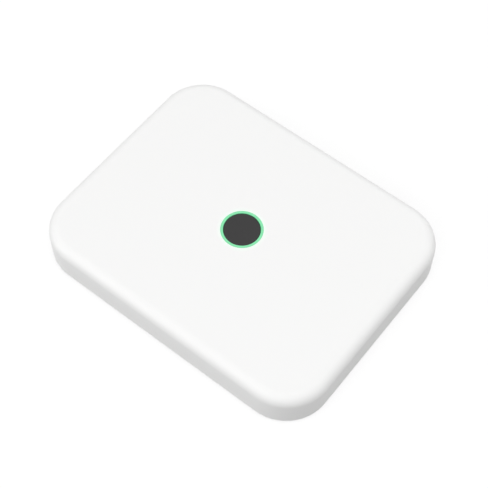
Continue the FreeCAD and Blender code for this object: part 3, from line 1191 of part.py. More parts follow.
def antennas():
    """Flexible antennas on the inner walls, each with a contact spring under the board's edge."""
    springs = Piece("antenna_springs")
    low, high = "Sizes.antenna_floor", f"({CEILING} - {INNER_ROLL} - Sizes.antenna_roof_gap)"
    slot_low = f"({low} + {high} - Sizes.antenna_slot) / 2"
    slot_high = f"({low} + {high} + Sizes.antenna_slot) / 2"
    drop = f"{BOARD_BOTTOM} - Sizes.spring_drop"
    tip = f"({drop} - Sizes.spring_tip)"
    skin = "Sizes.spring_thickness"
    for name, (axis, side, start, end) in ANTENNAS.items():
        face = f"{side}{INNER_X if axis == 'X' else INNER_Y}"
        ahead = "-" if number(end) < number(start) else "+"
        feed = f"({start} {ahead} Sizes.antenna_feed)"
        antenna = Piece(f"antenna_{name}")
        antenna.grow(antenna.profile(axis, face).polygon([
            (start, low), (end, low), (end, slot_low), (feed, slot_low),
            (feed, slot_high), (end, slot_high), (end, high), (start, high),
        ]), "Sizes.antenna_thickness", 1 if side else -1)

        back = "+" if side else "-"
        edge = f"{side}{BOARD_X}" if axis == "X" else BOARD_FRONT
        touch = f"{face} {back} Sizes.antenna_thickness"
        root, knee = f"{edge} {back} Sizes.spring_pad", f"{edge} {back} {skin}"
        outline = [
            (root, BOARD_BOTTOM), (knee, BOARD_BOTTOM), (touch, drop), (touch, tip),
            (f"{touch} {back} {skin}", tip), (f"{touch} {back} {skin}", f"{drop} - {skin}"),
            (f"{knee} {back} {skin}", f"{BOARD_BOTTOM} - {skin}"),
            (root, f"{BOARD_BOTTOM} - {skin}"),
        ]
        place = f"({start} {ahead} Sizes.antenna_feed / 2) - Sizes.spring_width / 2"
        leaf = springs.profile("X" if axis == "Y" else "Y", place)
        springs.grow(leaf.polygon(outline), "Sizes.spring_width", 1)


# ---------------------------------------------------------------------------------------------
# Build, check and write
# ---------------------------------------------------------------------------------------------
def build():
    """Make every sub-part."""
    top_housing()
    bottom_cover()
    feet()
    screws("cover_screws", CORNERS, HEAD_TOP, "Sizes.cover_screw_length")
    status_light()
    main_board()
    screws("board_screws", BOARD_FIXINGS, EAR_BOTTOM, "Sizes.board_screw_length")
    shielding()
    heat_spreader()
    usb_port()
    network_port()
    power_button()
    side_switch("power", BUTTON_PLACE, "Sizes.switch_length")
    side_switch("reset", RESET_PLACE, "Sizes.reset_length")
    sim_slot()
    battery()
    mid_frame()
    antennas()


def write_parts():
    """Check every object of the document, then write one file for each sub-part."""
    doc.recompute()
    for item in doc.Objects:
        if {"Invalid", "Error"} & set(item.State):
            raise RuntimeError(f"{item.Label} failed: {item.State}")
    for piece in Piece.made:
        shape = piece.body.Shape
        if shape.isNull() or not shape.isValid() or not shape.Solids:
            raise RuntimeError(f"{piece.body.Label} has no valid solid")
    os.makedirs("parts", exist_ok=True)
    for piece in Piece.made:
        piece.body.Shape.exportStep(f"parts/{piece.body.Label}.step")
        print(f"{piece.body.Label}: {len(piece.body.Shape.Solids)} solid(s)")


build()
write_parts()
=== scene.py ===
"""Dresses the mobile hotspot: its finishes, its small fittings, the studio and the camera."""

import logging
import math
from dataclasses import dataclass, field
from enum import Enum

import bmesh
import bpy
from mathutils import Matrix, Vector


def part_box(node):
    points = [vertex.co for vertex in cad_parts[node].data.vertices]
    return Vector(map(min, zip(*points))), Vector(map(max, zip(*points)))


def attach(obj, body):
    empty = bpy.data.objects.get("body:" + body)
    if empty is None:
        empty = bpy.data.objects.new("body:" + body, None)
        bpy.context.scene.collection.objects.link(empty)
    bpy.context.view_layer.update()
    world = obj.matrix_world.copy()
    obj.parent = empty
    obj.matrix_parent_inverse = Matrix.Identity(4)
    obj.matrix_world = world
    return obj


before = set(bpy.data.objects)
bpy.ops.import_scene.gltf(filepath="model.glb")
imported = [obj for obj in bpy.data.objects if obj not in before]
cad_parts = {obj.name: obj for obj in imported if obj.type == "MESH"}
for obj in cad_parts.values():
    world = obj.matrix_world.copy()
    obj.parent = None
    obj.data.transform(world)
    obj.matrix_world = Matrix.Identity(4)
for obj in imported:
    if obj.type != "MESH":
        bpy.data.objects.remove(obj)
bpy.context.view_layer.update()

LOG = logging.getLogger("hotspot")
MM = 0.001
WELD = 1e-7
BEVEL_SAMPLES = 4
CORNER_STEPS = 3
QUARTER_TURN = 90.0
BLACK = (0.0, 0.0, 0.0)
WHITE = (1.0, 1.0, 1.0)
RING_GREEN = (0.02, 0.75, 0.28)
Colour = tuple[float, float, float]
Span = tuple[float, float]
Node = bpy.types.Node
Piece = bpy.types.Object
Socket = bpy.types.NodeSocket
Sockets = dict[str, Socket]
Value = float | int | tuple | Vector | Socket


class Slot(Enum):
    """The record's material slots, named alongside the finishes of new pieces."""

    CONTACT_GOLD = "contact_gold"
    CHIP_PACKAGE = "chip_package"
    CAN_METAL = "can_metal"
    FLEX_FILM = "flex_film"
    LIGHT_DIFFUSER = "light_diffuser"


class Body(Enum):
    """The bodies that new pieces ride on."""

    ROOT = "root"
    SIM_TRAY = "sim_tray"


# ---------------------------------------------------------------------------------------------
# Node trees
# ---------------------------------------------------------------------------------------------
def spaced(inputs: dict[str, Value]) -> dict[str, Value]:
    """Put blanks for the underscores in the names of inputs."""
    return {name.replace("_", " "): value for name, value in inputs.items()}


def empty_tree(owner: bpy.types.Material | bpy.types.World) -> bpy.types.NodeTree:
    """Turn on the nodes of a material or a world and clear them.

    Args:
        owner: The material or world.

    Returns:
        Its empty tree.
    """
    owner.use_nodes = True
    owner.node_tree.nodes.clear()
    return owner.node_tree


class Graph:
    """Adds and links nodes in one node tree."""

    def __init__(self, tree: bpy.types.NodeTree) -> None:
        """Keep the tree that the nodes go into."""
        self.tree = tree

    def add(self, kind: str, inputs: dict | None = None, **settings: object) -> Node:
        """Add one node.

        Args:
            kind: The node's type name.
            inputs: A value, or the output that feeds it, for each input by name or place.
            **settings: The node's own settings.

        Returns:
            The new node.
        """
        node = self.tree.nodes.new(kind)
        for name, setting in settings.items():
            setattr(node, name, setting)
        for key, value in (inputs or {}).items():
            self.feed(node.inputs[key], value)
        return node

    def make(self, kind: str, inputs: dict | None = None, **settings: object) -> Socket:
        """Add one node as add does, and give the first of its outputs that is in use."""
        return next(out for out in self.add(kind, inputs, **settings).outputs if out.enabled)

    def end(self, kind: str, result: Socket) -> None:
        """Add an output node and feed it the result."""
        self.feed(self.add(kind).inputs[0], result)

    def feed(self, socket: Socket, value: Value) -> None:
        """Link an output to a socket, or set the socket's value.

        Args:
            socket: The socket.
            value: The output, or the value.
        """
        if isinstance(value, Socket):
            self.tree.links.new(value, socket)
        elif socket.type == "RGBA" and len(value) == 3:
            socket.default_value = (*value, 1.0)
        else:
            socket.default_value = value

    def math(self, operation: str, *values: Value, clamp: bool = False) -> Socket:
        """Add a Math node.

        Args:
            operation: What it does, such as MULTIPLY.
            *values: Its numbers, or the outputs that feed them.
            clamp: Whether the result is held between 0 and 1.

        Returns:
            The result.
        """
        return self.make("ShaderNodeMath", dict(enumerate(values)), operation=operation,
                         use_clamp=clamp)

    def vector(self, operation: str, *values: Value) -> Socket:
        """Add a Vector Math node.

        Args:
            operation: What it does, such as LENGTH.
            *values: Its vectors, or the outputs that feed them.

        Returns:
            The result, a vector or a number.
        """
        return self.make("ShaderNodeVectorMath", dict(enumerate(values)), operation=operation)

    def split(self, vector: Socket) -> tuple[Socket, ...]:
        """Give a vector's X, Y and Z."""
        return tuple(self.add("ShaderNodeSeparateXYZ", {0: vector}).outputs)

    def join(self, **parts: Value) -> Socket:
        """Make a vector of the X, Y and Z that are given, with 0 for the rest."""
        return self.make("ShaderNodeCombineXYZ", parts)

    def flatten(self, vector: Socket) -> Socket:
        """Set a vector's Z to 0."""
        return self.vector("MULTIPLY", vector, (1.0, 1.0, 0.0))

    def remap(self, value: Value, start: Span, end: Span = (0.0, 1.0),
              smooth: bool = False) -> Socket:
        """Map one range of numbers to another.

        Args:
            value: The number to map.
            start: The range that it comes from.
            end: The range that it goes to.
            smooth: Whether the change eases in and out.

        Returns:
            The mapped number.
        """
        return self.make("ShaderNodeMapRange",
                         {"Value": value, "From Min": start[0], "From Max": start[1],
                          "To Min": end[0], "To Max": end[1]},
                         interpolation_type="SMOOTHSTEP" if smooth else "LINEAR")

    def blend(self, mask: Value, first: Value, second: Value) -> Socket:
        """Mix two colours.

        Args:
            mask: How much of the second colour shows.
            first: The colour where the mask is 0.
            second: The colour where the mask is 1.

        Returns:
            The mixed colour.
        """
        return self.make("ShaderNodeMix", {0: mask, 6: first, 7: second}, data_type="RGBA")

    def noise(self, where: Socket, size: Value, detail: float = 3.0) -> Socket:
        """Add cloudy noise.

        Args:
            where: The coordinates, in metres.
            size: The size of one patch, in metres.
            detail: How many finer layers it has.

        Returns:
            The noise, from 0 to 1.
        """
        scale = self.math("DIVIDE", 1.0, size)
        return self.make("ShaderNodeTexNoise",
                         {"Vector": where, "Scale": scale, "Detail": detail})


class SharedTree:
    """A node group with named sockets that is built once and used wherever it is placed."""

    name = "Shared Tree"
    kind = "ShaderNodeTree"
    takes: tuple[tuple[str, str], ...] = ()
    gives: tuple[tuple[str, str], ...] = ()

    def wire(self, graph: Graph, given: Sockets) -> Socket:
        """Build the inside of the group.

        Args:
            graph: The group's own tree.
            given: The group's inputs by name.

        Returns:
            What feeds the group's output.
        """
        raise NotImplementedError

    def tree(self) -> bpy.types.NodeTree:
        """Give the group, and build it when it is first asked for.

        Returns:
            The group's tree.
        """
        if self.name in bpy.data.node_groups:
            return bpy.data.node_groups[self.name]
        tree = bpy.data.node_groups.new(self.name, self.kind)
        for side, sockets in (("OUTPUT", self.gives), ("INPUT", self.takes)):
            for label, kind in sockets:
                tree.interface.new_socket(name=label, in_out=side, socket_type="NodeSocket" + kind)
        graph = Graph(tree)
        entry = graph.add("NodeGroupInput")
        given = {label: entry.outputs[label] for label, _ in self.takes}
        graph.end("NodeGroupOutput", self.wire(graph, given))
        return tree


class SparkGrain(SharedTree):
    """The fine even pitting that a spark-eroded mould leaves."""

    name = "Spark Grain"
    takes = (("Coordinates", "Vector"), ("Grain Size", "Float"))
    gives = (("Height", "Float"),)
    coarse_detail = 2.0
    fine_detail = 1.0
    fine_size = 0.41
    fine_share = 0.4

    def wire(self, graph: Graph, given: Sockets) -> Socket:
        """Mix two sizes of pit.

        Args:
            graph: The group's own tree.
            given: The group's inputs by name.

        Returns:
            The height.
        """
        where, size = given["Coordinates"], given["Grain Size"]
        coarse = graph.noise(where, size, self.coarse_detail)
        fine = graph.noise(where, graph.math("MULTIPLY", size, self.fine_size), self.fine_detail)
        weighted = graph.math("MULTIPLY", fine, self.fine_share)
        return graph.math("MULTIPLY_ADD", coarse, 1.0 - self.fine_share, weighted)


class Mottle(SharedTree):
    """Slow, slight unevenness of a finish, from -1 to 1 before it is scaled."""

    name = "Mottle"
    takes = (("Coordinates", "Vector"), ("Patch Size", "Float"), ("Amount", "Float"),
             ("Middle", "Float"))
    gives = (("Value", "Float"),)

    def wire(self, graph: Graph, given: Sockets) -> Socket:
        """Centre the noise and add it to the middle value.

        Args:
            graph: The group's own tree.
            given: The group's inputs by name.

        Returns:
            The value.
        """
        patch = graph.noise(given["Coordinates"], given["Patch Size"])
        swing = graph.math("MULTIPLY_ADD", patch, 2.0, -1.0)
        return graph.math("MULTIPLY_ADD", swing, given["Amount"], given["Middle"])


class EdgeWear(SharedTree):
    """A mask of the edges, where handling polishes or bares them."""

    name = "Edge Wear"
    takes = (("Coordinates", "Vector"), ("Width", "Float"), ("Amount", "Float"))
    gives = (("Mask", "Float"),)
    flat_to_edge = (0.995, 0.85)
    rub_size = 6.0

    def wire(self, graph: Graph, given: Sockets) -> Socket:
        """Compare the rounded normal with the true one, broken up by noise.

        Args:
            graph: The group's own tree.
            given: The group's inputs by name.

        Returns:
            The mask.
        """
        rounded = graph.make("ShaderNodeBevel", {"Radius": given["Width"]},
                             samples=BEVEL_SAMPLES)
        true = graph.add("ShaderNodeNewGeometry").outputs["Normal"]
        facing = graph.vector("DOT_PRODUCT", rounded, true)
        turned = graph.remap(facing, self.flat_to_edge)
        rub = graph.math("MULTIPLY", given["Width"], self.rub_size)
        broken = graph.math("MULTIPLY", turned, graph.noise(given["Coordinates"], rub))
        return graph.math("MULTIPLY", broken, given["Amount"], clamp=True)


class SettledDust(SharedTree):
    """A mask of fine dust on whatever faces up."""

    name = "Settled Dust"
    takes = (("Coordinates", "Vector"), ("Patch Size", "Float"), ("Amount", "Float"))
    gives = (("Mask", "Float"),)
    speck_detail = 8.0
    peaks = (0.55, 0.8)

    def wire(self, graph: Graph, given: Sockets) -> Socket:
        """Keep the noise's peaks on faces that point up.

        Args:
            graph: The group's own tree.
            given: The group's inputs by name.

        Returns:
            The mask.
        """
        normal = graph.add("ShaderNodeNewGeometry").outputs["Normal"]
        upward = graph.math("MAXIMUM", graph.split(normal)[2], 0.0)
        cloud = graph.noise(given["Coordinates"], given["Patch Size"], self.speck_detail)
        lying = graph.math("MULTIPLY", upward, graph.remap(cloud, self.peaks))
        return graph.math("MULTIPLY", lying, given["Amount"], clamp=True)


class Brushing(SharedTree):
    """The long fine lines that rolling or brushing leaves in sheet metal, along X."""

    name = "Brushing"
    takes = (("Coordinates", "Vector"), ("Line Width", "Float"))
    gives = (("Height", "Float"),)
    squeeze = (0.03, 1.0, 1.0)
    line_detail = 4.0

    def wire(self, graph: Graph, given: Sockets) -> Socket:
        """Stretch noise along the lines."""
        stretched = graph.vector("MULTIPLY", given["Coordinates"], self.squeeze)
        return graph.noise(stretched, given["Line Width"], self.line_detail)


# ---------------------------------------------------------------------------------------------
# Finishes
# ---------------------------------------------------------------------------------------------
class Coat(Graph):
    """A material in the making: its tree, its shader and the coordinates of its surface."""

    def __init__(self, name: str, colour: Colour, metallic: float) -> None:
        """Start the material.

        Args:
            name: Its name.
            colour: The colour that a plain viewport shows.
            metallic: How metallic it is.
        """
        made = bpy.data.materials.new(name)
        super().__init__(empty_tree(made))
        made.diffuse_color = (*colour, 1.0)
        self.shader = self.add("ShaderNodeBsdfPrincipled", {"Metallic": metallic})
        self.end("ShaderNodeOutputMaterial", self.shader.outputs[0])
        self.where = self.add("ShaderNodeTexCoord").outputs["Object"]

    def paint(self, name: str, value: Value) -> None:
        """Feed one of the shader's inputs."""
        self.feed(self.shader.inputs[name], value)

    def lay(self, effect: SharedTree, **inputs: Value) -> Socket:
        """Place a shared effect on the surface.

        Args:
            effect: The effect.
            **inputs: Its inputs, with underscores for the blanks in their names.

        Returns:
            The effect's output.
        """
        given = {"Coordinates": self.where, **spaced(inputs)}
        return self.make("ShaderNodeGroup", given, node_tree=effect.tree())

    def light_up(self, share: Socket, light: Colour, strength: float) -> None:
        """Let the surface give light.

        Args:
            share: Where it does, from 0 to 1.
            light: The light's colour.
            strength: The light's strength.
        """
        self.paint("Emission Color", self.blend(share, BLACK, light))
        self.paint("Emission Strength", strength)


@dataclass(frozen=True)
class Finish:
    """What every finish has: a name, a colour, a roughness and a way to vary them."""

    name: str
    colour: Colour
    roughness: float = 0.5
    metallic: float = 0.0
    grain: float = 0.4 * MM
    relief: float = 0.01 * MM
    rounding: float = 0.0
    patch: float = 6.0 * MM
    unevenness: float = 0.04
    tint: Colour = (0.5, 0.5, 0.5)
    tint_share: float = 0.06

    def material(self) -> bpy.types.Material:
        """Give the finish's material, and build it when it is first asked for.

        Returns:
            The material.
        """
        if self.name not in bpy.data.materials:
            self.dress(Coat(self.name, self.colour, self.metallic))
        return bpy.data.materials[self.name]

    def dress(self, coat: Coat) -> None:
        """Feed the shader.

        Args:
            coat: The material in the making.
        """
        coat.paint("Base Color", self.shade(coat))
        coat.paint("Roughness", self.dullness(coat))
        self.emboss(coat, self.height(coat))

    def shade(self, coat: Coat) -> Socket:
        """Blend a little of the tint into the colour, in patches.

        Args:
            coat: The material in the making.

        Returns:
            The blended colour.
        """
        share = coat.lay(Mottle(), Patch_Size=self.patch, Amount=self.tint_share,
                         Middle=self.tint_share)
        return coat.blend(share, self.colour, self.tint)

    def dullness(self, coat: Coat) -> Socket:
        """Let the roughness drift around its middle."""
        return coat.lay(Mottle(), Patch_Size=self.patch, Amount=self.unevenness,
                        Middle=self.roughness)

    def height(self, coat: Coat) -> Socket:
        """Give the height of the mould's grain."""
        return coat.lay(SparkGrain(), Grain_Size=self.grain)

    def emboss(self, coat: Coat, height: Socket) -> None:
        """Turn a height into a bump, with sharp edges softened by the finish's rounding.

        Args:
            coat: The material in the making.
            height: The height, from 0 to 1.
        """
        bump = coat.add("ShaderNodeBump", {"Distance": self.relief, "Height": height})
        if self.rounding:
            soft = coat.make("ShaderNodeBevel", {"Radius": self.rounding}, samples=BEVEL_SAMPLES)
            coat.feed(bump.inputs["Normal"], soft)
        coat.paint("Normal", bump.outputs[0])


@dataclass(frozen=True)
class MouldedPlastic(Finish):
    """Moulded plastic with a spark-eroded grain, a little glossier where it is handled."""

    rounding: float = 0.12 * MM
    polish: float = 0.12
    polished_edge: float = 0.5 * MM

    def dullness(self, coat: Coat) -> Socket:
        """Polish the corners a little."""
        worn = coat.lay(EdgeWear(), Width=self.polished_edge, Amount=self.polish)
        return coat.math("SUBTRACT", super().dullness(coat), worn)


@dataclass(frozen=True)
class PaintedGlowPlastic(MouldedPlastic):
    """The white plastic of the top, with a painted glow beside the ring standing in for the ring's
    light.
    """

    ring_radius: float = 8.4 * MM
    reach: float = 2.2 * MM
    falloff: float = 2.0
    light: Colour = RING_GREEN
    glow: float = 0.12

    def dress(self, coat: Coat) -> None:
        """Feed the shader, and paint a glow round the ring.

        Args:
            coat: The material in the making.
        """
        super().dress(coat)
        # Painted glow: green emission on the white top that fades out from the ring's edge, in
        # place of the ring's light showing through the plastic.
        radius = coat.vector("LENGTH", coat.flatten(coat.where))
        near = coat.remap(radius, (self.ring_radius + self.reach, self.ring_radius))
        coat.light_up(coat.math("POWER", near, self.falloff), self.light, self.glow)


@dataclass(frozen=True)
class SmokedLens(Finish):
    """Dark smoked acrylic: glossy, with hair-fine swirls from wiping."""

    rounding: float = 0.1 * MM
    swirls: float = 900.0
    waviness: float = 6.0
    swirl_detail: float = 4.0
    crests: Span = (0.92, 1.0)

    def dullness(self, coat: Coat) -> Socket:
        """Draw fine wiping swirls.

        Args:
            coat: The material in the making.

        Returns:
            The roughness.
        """
        swirl = coat.add("ShaderNodeTexWave",
                         {"Vector": coat.where, "Scale": self.swirls,
                          "Distortion": self.waviness, "Detail": self.swirl_detail},
                         wave_type="RINGS", rings_direction="Z")
        hair = coat.remap(swirl.outputs["Fac"], self.crests, (0.0, self.unevenness))
        return coat.math("ADD", hair, self.roughness)


@dataclass(frozen=True)
class LitDiffuser(Finish):
    """Milky plastic lit from below by a ring of lamps, a little brighter over each."""

    light: Colour = RING_GREEN
    strength: float = 0.5
    lamps: int = 6
    ripple: float = 0.08

    def dress(self, coat: Coat) -> None:
        """Feed the shader, and let the light swell over each lamp.

        Args:
            coat: The material in the making.
        """
        super().dress(coat)
        x, y, _ = coat.split(coat.where)
        angle = coat.math("MULTIPLY", coat.math("ARCTAN2", y, x), float(self.lamps))
        swell = coat.math("MULTIPLY_ADD", coat.math("COSINE", angle), self.ripple,
                          1.0 - self.ripple)
        coat.light_up(swell, self.light, self.strength)


@dataclass(frozen=True)
class SheetMetal(Finish):
    """Rolled or plated metal with fine lines and brighter edges."""

    metallic: float = 1.0
    roughness: float = 0.34
    rounding: float = 0.08 * MM
    edge: Colour = (0.85, 0.84, 0.82)
    edge_width: float = 0.25 * MM
    edge_share: float = 0.8

    def shade(self, coat: Coat) -> Socket:
        """Brighten the edges."""
        worn = coat.lay(EdgeWear(), Width=self.edge_width, Amount=self.edge_share)
        return coat.blend(worn, super().shade(coat), self.edge)

    def height(self, coat: Coat) -> Socket:
        """Give the height of the rolling lines."""
        return coat.lay(Brushing(), Line_Width=self.grain)


@dataclass(frozen=True)
class Laminate(Finish):
    """Solder mask over copper: bundles of tracks both ways, copper pours and plated holes."""

    copper: Colour = (0.022, 0.15, 0.055)
    plating: Colour = (0.75, 0.6, 0.28)
    bundle: float = 9.0 * MM
    pitch: float = 0.9 * MM
    track: float = 0.3 * MM
    turned_share: float = 0.5
    tracked_share: float = 0.55
    poured_share: float = 0.25
    hole_pitch: float = 3.4 * MM
    hole: float = 0.28 * MM

    def dress(self, coat: Coat) -> None:
        """Feed the shader with tracks and plated holes.

        Args:
            coat: The material in the making.
        """
        flat = coat.flatten(coat.where)
        copper = self.route(coat, flat)
        cells = coat.add("ShaderNodeTexVoronoi", {"Vector": flat, "Scale": 1.0 / self.hole_pitch})
        holes = coat.math("LESS_THAN", cells.outputs["Distance"], self.hole / self.hole_pitch)
        over = coat.blend(copper, self.shade(coat), self.copper)
        coat.paint("Base Color", coat.blend(holes, over, self.plating))
        coat.paint("Roughness", self.dullness(coat))
        self.emboss(coat, coat.math("ADD", copper, holes))

    def route(self, coat: Coat, flat: Socket) -> Socket:
        """Lay tracks along X in some square patches, along Y in others, and fill a few whole.

        Args:
            coat: The material in the making.
            flat: The coordinates in the plane of the board.

        Returns:
            A mask of the copper.
        """
        patches = coat.add("ShaderNodeTexVoronoi", {"Vector": flat, "Scale": 1.0 / self.bundle},
                           distance="CHEBYCHEV")
        way, kind, _ = coat.split(patches.outputs["Color"])
        x, y, _ = coat.split(flat)
        turned = coat.math("GREATER_THAN", way, self.turned_share)
        sideways = coat.math("MULTIPLY", turned, coat.math("SUBTRACT", y, x))
        line = coat.math("PINGPONG", coat.math("ADD", x, sideways), self.pitch / 2)
        tracks = coat.math("LESS_THAN", line, self.track / 2)
        routed = coat.math("LESS_THAN", kind, self.tracked_share)
        poured = coat.math("GREATER_THAN", kind, 1.0 - self.poured_share)
        return coat.math("MAXIMUM", coat.math("MULTIPLY", tracks, routed), poured)


@dataclass(frozen=True)
class FoilPouch(Finish):
    """The matt aluminium foil of a pouch cell, with shallow creases and a fine weave."""

    metallic: float = 0.85
    crease: float = 9.0 * MM
    crease_detail: float = 6.0
    weave_share: float = 0.15

    def height(self, coat: Coat) -> Socket:
        """Add the weave to the creases."""
        creases = coat.noise(coat.where, self.crease, self.crease_detail)
        return coat.math("MULTIPLY_ADD", super().height(coat), self.weave_share, creases)


@dataclass(frozen=True)
class ThinFilm(Finish):
    """Polyimide film with etched copper showing through as darker bands."""

    band: Colour = (0.42, 0.17, 0.05)
    pitch: float = 2.2 * MM
    band_edge: Span = (0.35, 0.4)

    def dress(self, coat: Coat) -> None:
        """Feed the shader with bands of copper.

        Args:
            coat: The material in the making.
        """
        wave = coat.math("PINGPONG", coat.split(coat.where)[2], self.pitch)
        start, end = (share * self.pitch for share in self.band_edge)
        seen = coat.remap(wave, (start, end))
        coat.paint("Base Color", coat.blend(seen, self.shade(coat), self.band))
        coat.paint("Roughness", self.dullness(coat))
        self.emboss(coat, seen)


@dataclass(frozen=True)
class SoftRubber(Finish):
    """Silicone rubber that holds a little dust."""

    dust: Colour = (0.72, 0.71, 0.69)
    dust_patch: float = 0.6 * MM
    dustiness: float = 0.5

    def shade(self, coat: Coat) -> Socket:
        """Lay dust on top."""
        mask = coat.lay(SettledDust(), Patch_Size=self.dust_patch, Amount=self.dustiness)
        return coat.blend(mask, super().shade(coat), self.dust)


SATIN_WHITE = {"colour": (0.93, 0.93, 0.925), "roughness": 0.46, "grain": 0.22 * MM,
               "relief": 0.004 * MM, "patch": 22 * MM, "unevenness": 0.03,
               "tint": (0.9, 0.9, 0.9), "tint_share": 0.05}
WHITE_CASE = MouldedPlastic("white_case_plastic", **SATIN_WHITE)
WHITE_TOP_PAINTED_GLOW = PaintedGlowPlastic("white_top_plastic", **SATIN_WHITE)
SMOKED = SmokedLens("smoked_acrylic", (0.008, 0.0078, 0.008), 0.3, grain=0.15 * MM,
                    relief=0.002 * MM, unevenness=0.08, tint=(0.016, 0.0145, 0.0155),
                    tint_share=0.4)
RING_LIGHT = LitDiffuser("lit_green_diffuser", (0.24, 0.62, 0.36), 0.42, grain=0.2 * MM,
                         relief=0.003 * MM, tint=(0.2, 0.55, 0.31), strength=0.26)
FOOT_RUBBER = SoftRubber("grey_silicone", (0.3, 0.3, 0.3), 0.72, grain=0.3 * MM,
                         relief=0.01 * MM, tint=(0.22, 0.22, 0.22), tint_share=0.2)
BLACK_PLASTIC = MouldedPlastic("black_glass_filled_plastic", (0.018, 0.018, 0.019), 0.5,
                               grain=0.25 * MM, relief=0.006 * MM, tint=(0.05, 0.05, 0.05),
                               tint_share=0.2)
NICKEL = SheetMetal("nickel_plated_sheet", (0.62, 0.6, 0.56), 0.32, grain=0.05 * MM,
                    relief=0.003 * MM, tint=(0.5, 0.47, 0.42), tint_share=0.2)
STEEL = SheetMetal("zinc_plated_steel", (0.55, 0.56, 0.58), 0.3, grain=0.06 * MM,
                   relief=0.004 * MM, tint=(0.42, 0.43, 0.46), tint_share=0.25)
SPREADER = SheetMetal("rolled_aluminium", (0.7, 0.71, 0.72), 0.42, grain=0.08 * MM,
                      relief=0.005 * MM, tint=(0.58, 0.59, 0.61), tint_share=0.2)
GOLD = SheetMetal("gold_plating", (0.9, 0.62, 0.24), 0.24, grain=0.04 * MM, relief=0.002 * MM,
                  tint=(0.75, 0.5, 0.2), tint_share=0.15, edge=(0.95, 0.75, 0.4))
LAMINATE = Laminate("green_solder_mask", (0.012, 0.09, 0.035), 0.36, relief=0.012 * MM,
                    tint=(0.02, 0.06, 0.03), tint_share=0.2)
EPOXY = Finish("black_epoxy_package", (0.025, 0.025, 0.027), 0.55, grain=0.12 * MM,
               relief=0.006 * MM, tint=(0.06, 0.06, 0.06), tint_share=0.25)
GAP_PAD = Finish("blue_gap_pad", (0.16, 0.3, 0.5), 0.78, grain=0.5 * MM, relief=0.03 * MM,
                 tint=(0.26, 0.42, 0.6), tint_share=0.3)
BLACK_TAPE = Finish("black_foam_tape", (0.03, 0.03, 0.032), 0.85, grain=0.3 * MM,
                    relief=0.02 * MM, tint=(0.08, 0.08, 0.08), tint_share=0.2)
FOIL = FoilPouch("pouch_foil", (0.66, 0.67, 0.68), 0.38, grain=0.3 * MM, relief=0.12 * MM,
                 tint=(0.52, 0.53, 0.55), tint_share=0.2)
FILM = ThinFilm("amber_film", (0.7, 0.36, 0.09), 0.34, relief=0.006 * MM,
                tint=(0.55, 0.25, 0.05), tint_share=0.2)
CARD = Finish("white_card_plastic", (0.82, 0.82, 0.8), 0.4, grain=0.3 * MM, relief=0.003 * MM,
              tint=(0.7, 0.7, 0.72), tint_share=0.1)
WHITE_PLUNGER = Finish("natural_acetal", (0.78, 0.77, 0.72), 0.38, grain=0.3 * MM,
                       relief=0.004 * MM, tint=(0.65, 0.63, 0.56), tint_share=0.15)
LAMP = LitDiffuser("lamp_phosphor", (0.75, 0.8, 0.5), 0.4, strength=1.2, ripple=0.0)
COPPER = SheetMetal("bare_copper", (0.8, 0.4, 0.24), 0.3, grain=0.05 * MM, relief=0.002 * MM,
                    tint=(0.6, 0.28, 0.16), tint_share=0.25, edge=(0.9, 0.55, 0.4))
TIN = SheetMetal("tinned_ends", (0.72, 0.72, 0.7), 0.36, grain=0.05 * MM, relief=0.004 * MM,
                 tint=(0.6, 0.6, 0.58), tint_share=0.2)
CERAMIC = Finish("tan_ceramic", (0.42, 0.3, 0.19), 0.45, grain=0.1 * MM, relief=0.004 * MM,
                 tint=(0.3, 0.22, 0.15), tint_share=0.3)


# ---------------------------------------------------------------------------------------------
# Geometry Nodes
# ---------------------------------------------------------------------------------------------
def show(made: Piece) -> Piece:
    """Put an object in the scene and give it back."""
    bpy.context.scene.collection.objects.link(made)
    return made


class Pattern(SharedTree):
    """A Geometry Nodes tree with named inputs, made a plain mesh piece when it is placed."""

    name = "Pattern"
    kind = "GeometryNodeTree"
    gives = (("Geometry", "Geometry"),)

    def shape(self, graph: Graph, given: Sockets) -> Socket:
        """Build the geometry that still lacks its material.

        Args:
            graph: The pattern's own tree.
            given: The pattern's inputs by name.

        Returns:
            The geometry.
        """
        raise NotImplementedError

    def wire(self, graph: Graph, given: Sockets) -> Socket:
        """Make every copy in the geometry real and give it the material.

        Args:
            graph: The pattern's own tree.
            given: The pattern's inputs by name.

        Returns:
            The finished geometry.
        """
        real = graph.make("GeometryNodeRealizeInstances", {0: self.shape(graph, given)})
        return graph.make("GeometryNodeSetMaterial",
                          {"Geometry": real, "Material": given["Material"]})

    def place(self, name: str, finish: Finish, slot: Slot, body: Body = Body.ROOT,
              **inputs: Value) -> Piece:
        """Make a piece from the tree.

        Args:
            name: The piece's name.
            finish: Its finish.
            slot: The record's slot for that finish; not used.
            body: The body that it rides on.
            **inputs: The tree's inputs, with underscores for the blanks in their names.

        Returns:
            The piece, a plain mesh at the origin.
        """
        host = show(bpy.data.objects.new(name + "_host", bpy.data.meshes.new(name + "_host")))
        modifier = host.modifiers.new("Pattern", "NODES")
        modifier.node_group = self.tree()
        values = {**spaced(inputs), "Material": finish.material()}
        for item in modifier.node_group.interface.items_tree:
            if item.in_out == "INPUT":
                modifier[item.identifier] = values[item.name]
        solid = host.evaluated_get(bpy.context.evaluated_depsgraph_get())
        mesh = bpy.data.meshes.new_from_object(solid)
        mesh.name = name
        bpy.data.objects.remove(host)
        made = show(bpy.data.objects.new(name, mesh))
        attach(made, body.value)
        return made


